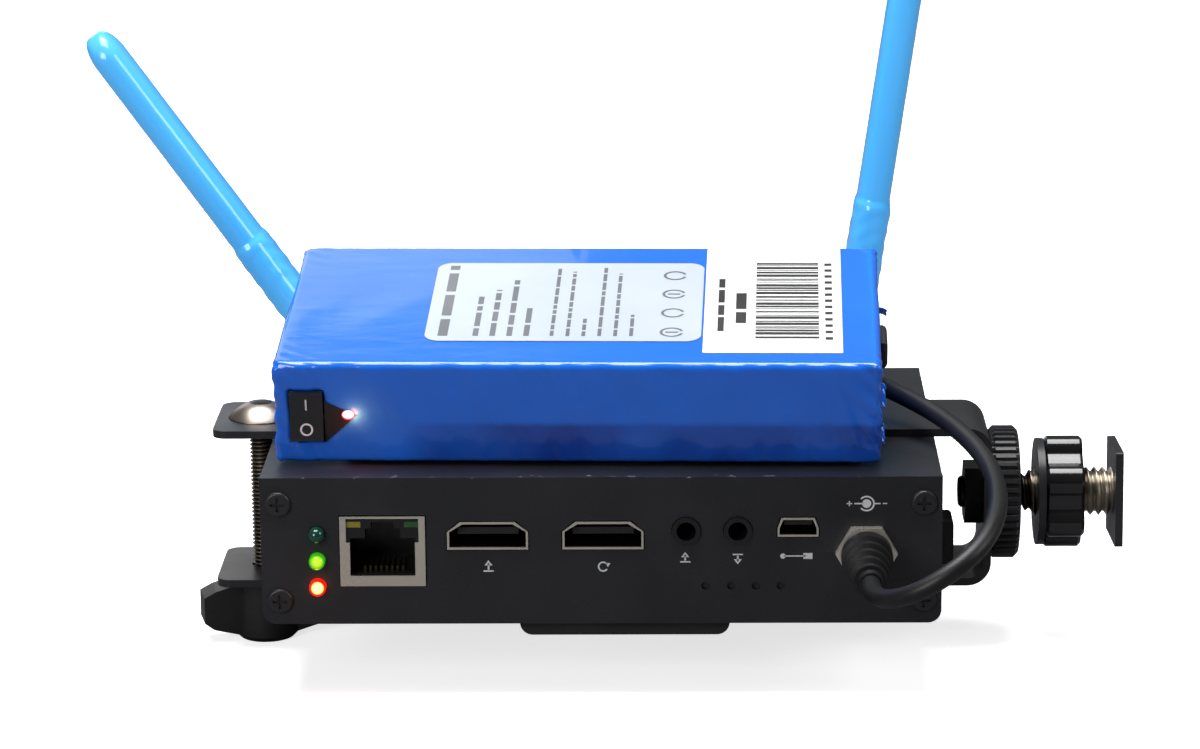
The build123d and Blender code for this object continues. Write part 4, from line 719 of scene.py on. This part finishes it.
def label_marks():
    """Generic print on the battery: rows of short bars on the silver label and stripes on the sticker."""
    rng = np.random.default_rng(7)
    lift = LABEL_T + PRINT_GAP
    x_dir, y_dir = BATTERY_X, BATTERY_Y
    rows = []
    for x, size, low, high in (
        (30.4, 2.6, 13.5, 49.0), (36.6, 1.5, 13.5, 33.0), (39.8, 1.5, 13.5, 36.5), (43.0, 1.5, 13.5, 41.5),
        (46.2, 1.5, 13.5, 28.0), (51.0, 1.0, 13.5, 47.5), (54.0, 1.0, 13.5, 46.0), (57.0, 1.0, 13.5, 22.0),
        (60.0, 1.0, 13.5, 48.0), (63.0, 1.0, 13.5, 45.0), (66.0, 1.0, 13.5, 24.0),
    ):
        y = low
        while y < high:
            word = rng.uniform(1.6, 5.5) * (size / 1.6 + 0.4)
            stop = min(y + word, high)
            rows.append(bar_outline(x - size * 0.36, x + size * 0.36, y, stop))
            y = stop + 0.7 * size
    origin = on_battery((0.6, -0.3, BATTERY_SIZE[2]))
    merge_prints("label_print", rows, origin, x_dir, y_dir, lift, PRINT_GREY, "unit")
    rings = [ring_outline(73.6, y, 2.0, 0.55, 0.3, 6.0) for y in (15.5, 25.0, 34.5, 44.0)]
    rings += [bar_outline(72.4, 74.8, y - 0.3, y + 0.3) for y in (15.5, 34.5)]
    merge_prints("label_symbols", rings, origin, x_dir, y_dir, lift, PRINT_GREY, "unit")
    stripes, y = [], 12.6
    while y < 50.0:
        wide = float(rng.choice((0.3, 0.55, 0.9, 1.25)))
        stripes.append(bar_outline(89.4, 101.4, y, y + wide))
        y += wide + float(rng.choice((0.35, 0.5, 0.9)))
    merge_prints("sticker_stripes", stripes, origin, x_dir, y_dir, lift, PRINT_BLACK, "unit")
    long_words = ((16.0, 7.0), (24.0, 5.0), (30.2, 6.5), (37.8, 4.5))
    words = [bar_outline(82.2, 83.4, y, y + w) for y, w in long_words]
    words += [bar_outline(85.6, 87.6, y, y + w) for y, w in ((20.0, 5.5), (27.0, 8.0))]
    words += [bar_outline(102.6, 104.0, y, y + 1.3) for y in np.arange(12.0, 50.0, 3.1)]
    merge_prints("sticker_print", words, origin, x_dir, y_dir, lift, PRINT_BLACK, "unit")


def switch_marks():
    """Bar and ring on the rocker's two halves, lying on its sloping faces."""
    tip = SWITCH_TIP
    pivot = on_battery(SWITCH_PIVOT)
    for name, z, outline in (
        ("switch_bar", 2.5, [bar_outline(-0.16, 0.16, -1.1, 1.1)]),
        ("switch_ring", -2.4, [ring_outline(0, 0, 1.05, 0.34, 0, 2 * np.pi)]),
    ):
        slope = math.atan2(ROCKER_FALL, ROCKER_HALF) * (1 if z > 0 else -1)
        depth = 0.5 - ROCKER_TOP - ROCKER_FALL * abs(z) / ROCKER_HALF
        y_flat = depth * math.cos(tip) - z * math.sin(tip)
        z_flat = depth * math.sin(tip) + z * math.cos(tip)
        tilt = tip + slope
        up = BATTERY_Z * math.cos(tilt) - BATTERY_Y * math.sin(tilt)
        origin = pivot + (y_flat * BATTERY_Y + z_flat * BATTERY_Z) * MM
        merge_prints(name, outline, origin, BATTERY_X, up, 0.05, PRINT_WHITE, "rocker")


def cutout_patch():
    """Dark triangular opening beside the switch with the charge lamp glowing in it."""
    origin = on_battery((0, 0, 0))
    black = FINISHES["socket_black"]
    merge_prints("film_cutout", [np.array(CUTOUT)], origin, BATTERY_X, BATTERY_Z, 0.2, black, "unit")
    turn = np.linspace(0, 2 * np.pi, 32, endpoint=False)
    rise = np.linspace(0, np.pi / 2, 8)
    ring = np.stack((np.cos(turn), np.sin(turn)), 1)
    x, z = CHARGE_LAMP
    local = [np.column_stack((x + 1.2 * math.cos(a) * ring[:, 0], np.full(32, -0.2 - 0.5 * math.sin(a)),
                              z + 0.95 * math.cos(a) * ring[:, 1])) for a in rise]
    faces = grid_faces(len(rise), 32, wrap=True)
    hot = lit("charge_lens", (0.7, 0.02, 0.03), (1.0, 0.03, 0.06), (1.0, 0.72, 0.80), 2.6)
    lens = add_mesh("charge_lamp_lens", on_battery(np.vstack(local)), faces, hot, "unit")


def film_flaps():
    """Loose ends of the shrink film at the battery's right end: a curled tab and a ragged fringe.
    Each is a strip whose distance from the end face follows a quarter sine, with a wavy free edge."""
    u, v = np.meshgrid(np.linspace(0, 1, 24), np.linspace(0, 1, 12), indexing="ij")
    for name, y0, y1, z0, z1, out, wave in (
        ("film_tab", 32.6, 36.2, 18.6, 15.9, 1.5, 0.1),
        ("film_fringe_upper", 8.4, 6.0, 13.4, 9.6, 0.7, 0.2),
        ("film_fringe_lower", 6.6, 4.6, 6.0, 3.0, 0.6, 0.2),
    ):
        away = out * np.sin(v * np.pi / 2) * (1 + wave * np.sin(u * 17) * np.sin(u * 5 + 1))
        y = y0 + (y1 - y0) * u + 0.5 * wave * v * np.sin(u * 11)
        z = z0 + (z1 - z0) * u - 0.8 * (1 - np.cos(v * np.pi / 2))
        local = np.stack((BATTERY_SIZE[0] - 0.4 + away + 0.3 * v, y, z), -1).reshape(-1, 3)
        strip = add_mesh(name, on_battery(local), grid_faces(24, 12), FINISHES["film_blue"], "unit")
        wall = strip.modifiers.new("wall", "SOLIDIFY")
        wall.thickness = 0.15 * MM


# ------------------------------------------------------------------ threads
def steel_with_painted_root_shade(name, centre, across, crest, depth, tint):
    """Bright steel with painted shade: it darkens with distance down from the crest to the root, standing in
    for the shade in the thread's grooves.
    """
    second = [c * 1.2 for c in tint]
    material, tree = finish_material(name, tint, second, 0.26, 0.4, metallic=1.0, bump=0.05)
    place = object_place(tree)
    for operation, value in (("SUBTRACT", centre), ("MULTIPLY", across)):
        step = tree.nodes.new("ShaderNodeVectorMath")
        step.operation = operation
        step.inputs[1].default_value = value
        tree.links.new(place, step.inputs[0])
        place = step.outputs["Vector"]
    size = tree.nodes.new("ShaderNodeVectorMath")
    size.operation = "LENGTH"
    tree.links.new(place, size.inputs[0])
    out_of_root_shade = mapped(tree, size.outputs["Value"], crest - 0.8 * depth, crest - 0.15 * depth, 0.0, 1.0)
    # Painted shade: the base turns dark brown (0.05, 0.042, 0.03) towards the thread roots, where the grooves
    # are in shade.
    paint_base(tree, out_of_root_shade.outputs["Result"], (0.05, 0.042, 0.03), first=True)
    return material


def make_clamp_bolt():
    """Clamp bolt: bevelled end, threaded shank and dome head on the arc of a sphere."""
    low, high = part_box("carriage_bolt")
    x, y = (low[0] + high[0]) / 2, (low[1] + high[1]) / 2
    dome_r = (high[0] - low[0]) / 2
    sphere_r = (dome_r**2 + BOLT_DOME_H**2) / (2 * BOLT_DOME_H)
    neck = high[2] - low[2] - BOLT_DOME_H
    shank = np.linspace(0, neck, int(neck / BOLT_PITCH * 14))
    rise = BOLT_DOME_H * np.sin(np.linspace(0, np.pi / 2, 20))
    round_top = np.sqrt(np.maximum(sphere_r**2 - (sphere_r - BOLT_DOME_H + rise) ** 2, (0.01 * MM) ** 2))
    far = np.concatenate((shank, neck + rise))
    shank_r = np.interp(shank, (0, BOLT_BEVEL), (BOLT_CREST - BOLT_BEVEL, BOLT_CREST))
    major = np.concatenate((shank_r, round_top))
    tint = (0.40, 0.35, 0.30)
    # Steel with painted shade in its thread roots.
    root_shaded_steel = steel_with_painted_root_shade("bolt_thread_painted_shade", (x, y, 0), (1, 1, 0), BOLT_CREST, 0.5 * MM, tint)
    foot, span = np.array((x, y, low[2])), (0, neck - BOLT_PLAIN_NECK)
    bolt = threaded("bolt_thread", foot, (0, 0, 1), far, major, span, BOLT_PITCH, BOLT_THREAD_DEPTH,
                    root_shaded_steel, "unit")
    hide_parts("carriage_bolt")


def make_stem():
    """Mount stem: small stud, then a conical neck and a barrel, both threaded up to the shoe."""
    low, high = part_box("mount_stem")
    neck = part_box("knurled_wheel")[1][0] - low[0]
    length = high[0] - low[0]
    far = np.linspace(0, length, int(length / STEM_PITCH * 18))
    stations = (0, STUD_BEVEL, neck, neck + NECK_L)
    major = np.interp(far, stations, (STUD_R - STUD_BEVEL, STUD_R, STUD_R, STEM_CREST))
    tint = (0.62, 0.56, 0.47)
    # Inside the crest radius the stud and the lower neck take the painted root shade too.
    root_shaded_steel = steel_with_painted_root_shade("stem_thread_painted_shade", (0, 0, 0), (0, 1, 1), STEM_CREST, 1.5 * MM, tint)
    foot, span = np.array((low[0], 0, 0)), (neck, length + 1 * MM)
    stem = threaded("stem_thread", foot, (1, 0, 0), far, major, span, STEM_PITCH, STEM_THREAD_DEPTH,
                    root_shaded_steel, "mount", segments=64)
    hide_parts("mount_stem")


# ------------------------------------------------------------------ lead
LEAD_POINTS = (
    (112.9, -20.2, 13.8), (112.9, -30.0, 13.8), (119.3, -37.3, 16.9), (128.1, -37.6, 22.4),
    (134.2, -30.2, 26.7), (136.6, -14.0, 29.5), (134.6, 3.0, 31.9), (128.9, 18.0, 34.2), (121.5, 31.5, 35.4),
)


def make_lead():
    """Battery lead: one smooth spline led by the route's control points."""
    start = on_battery((BATTERY_SIZE[0], *LEAD_EXIT))
    last = at_case(*LEAD_POINTS[-1])
    inward = (start - last) / np.linalg.norm(start - last)
    route = [at_case(*p) for p in LEAD_POINTS] + [start + inward * LEAD_OVERLAP * MM]
    data = bpy.data.curves.new("battery_lead_cord", "CURVE")
    data.dimensions = "3D"
    data.resolution_u = 24
    data.bevel_depth = LEAD_R * MM
    data.bevel_resolution = 8
    data.use_fill_caps = True
    spline = data.splines.new("NURBS")
    spline.points.add(len(route) - 1)
    for point, place in zip(spline.points, route):
        point.co = (*place, 1.0)
    spline.order_u = 3
    spline.use_endpoint_u = True
    data.materials.append(FINISHES["cord_black"])
    lead = bpy.data.objects.new("battery_lead_cord", data)
    bpy.context.scene.collection.objects.link(lead)
    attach(lead, "unit")
    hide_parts("battery_lead")


# ------------------------------------------------------------------ studio
def area_light(name, place, aim, size, power):
    """Square soft light at a place, facing a point."""
    data = bpy.data.lights.new(name, "AREA")
    data.shape = "SQUARE"
    data.size = size
    data.energy = power
    light = bpy.data.objects.new(name, data)
    away = np.asarray(place, float) - np.asarray(aim, float)
    away /= np.linalg.norm(away)
    first, second, along = frame_about(away)
    matrix = Matrix.Identity(4)
    for row in range(3):
        matrix[row] = (first[row], second[row], along[row], place[row])
    light.matrix_world = matrix
    bpy.context.scene.collection.objects.link(light)


def glow_light(name, place, power, colour):
    """Small point light, unseen itself, for the glow that a lit lamp throws on what is round it."""
    data = bpy.data.lights.new(name, "POINT")
    data.energy = power
    data.color = colour
    data.shadow_soft_size = 0.0008
    light = bpy.data.objects.new(name, data)
    light.location = place
    light.visible_camera = False
    light.visible_glossy = False
    bpy.context.scene.collection.objects.link(light)


def pale_floor_paint():
    """Matt pale paint; the light that bounces off it back to the object is kept low."""
    paint = bpy.data.materials.new("pale_floor")
    paint.use_nodes = True
    tree = paint.node_tree
    shader = tree.nodes["Principled BSDF"]
    shader.inputs["Roughness"].default_value = 0.95
    shader.inputs["Specular IOR Level"].default_value = 0.1
    path = tree.nodes.new("ShaderNodeLightPath")
    seen = path.outputs["Is Camera Ray"]
    tree.links.new(blended(tree, seen, (0.14, 0.14, 0.15), (0.93, 0.93, 0.935)), shader.inputs["Base Color"])
    shader.inputs["Emission Color"].default_value = (1, 1, 1, 1)
    bright = mapped(tree, seen, 0.0, 1.0, 0.0, 0.72)
    tree.links.new(bright.outputs["Result"], shader.inputs["Emission Strength"])
    return paint


def studio_world():
    """White to the eye; as light it is bright above and behind, and dim below the horizon and in front."""
    world = bpy.data.worlds.new("studio")
    world.use_nodes = True
    tree = world.node_tree
    back = tree.nodes["Background"]
    place = tree.nodes.new("ShaderNodeTexCoord")
    split = tree.nodes.new("ShaderNodeSeparateXYZ")
    tree.links.new(place.outputs["Generated"], split.inputs["Vector"])
    high = mapped(tree, split.outputs["Z"], -0.05, 0.30, 0.25, 1.1)
    behind = mapped(tree, split.outputs["Y"], -0.4, 0.7, 0.75, 2.6)
    sky = product(tree, high.outputs["Result"], behind.outputs["Result"])
    path = tree.nodes.new("ShaderNodeLightPath")
    mix = tree.nodes.new("ShaderNodeMix")
    mix.inputs["B"].default_value = 1.0
    tree.links.new(path.outputs["Is Camera Ray"], mix.inputs["Factor"])
    tree.links.new(sky, mix.inputs["A"])
    tree.links.new(mix.outputs["Result"], back.inputs["Strength"])
    bpy.context.scene.world = world


def studio():
    """Pale floor under the object, soft surroundings, four soft lights and the glow of two lit lamps."""
    low = cad_box[0][2]
    size = 6.0
    points = [(-size, -size, low), (size, -size, low), (size, size, low), (-size, size, low)]
    mesh = bpy.data.meshes.new("floor")
    mesh.from_pydata(points, [], [(0, 1, 2, 3)])
    mesh.materials.append(pale_floor_paint())
    floor = bpy.data.objects.new("floor", mesh)
    bpy.context.scene.collection.objects.link(floor)
    studio_world()
    bpy.context.scene.view_settings.view_transform = "Standard"
    middle = at_case(70, 40, 30)
    area_light("top_softbox", middle + np.array((-0.1, 0.05, 0.8)), middle, 0.6, 10.5)
    area_light("front_softbox", middle + np.array((-0.5, -0.8, 0.35)), middle, 0.4, 3.2)
    area_light("side_softbox", middle + np.array((0.8, -0.2, 0.5)), middle, 0.4, 2.0)
    area_light("rear_softbox", middle + np.array((-0.3, 0.9, 0.32)), middle, 0.5, 0.7)
    glow_light("red_lamp_glow", at_case(10.5, -1.9, 7.3), 0.014, (1, 0.01, 0.005))
    by_charge_lamp = on_battery((CHARGE_LAMP[0] + 1.2, -1.2, CHARGE_LAMP[1]))
    glow_light("charge_lamp_glow", by_charge_lamp, 0.004, (1, 0.12, 0.02))


place_camera()
make_lead()
dress_nodes()
make_film()
make_paddles()
make_clamp_bolt()
make_stem()
panel_marks()
label_marks()
switch_marks()
cutout_patch()
film_flaps()
studio()
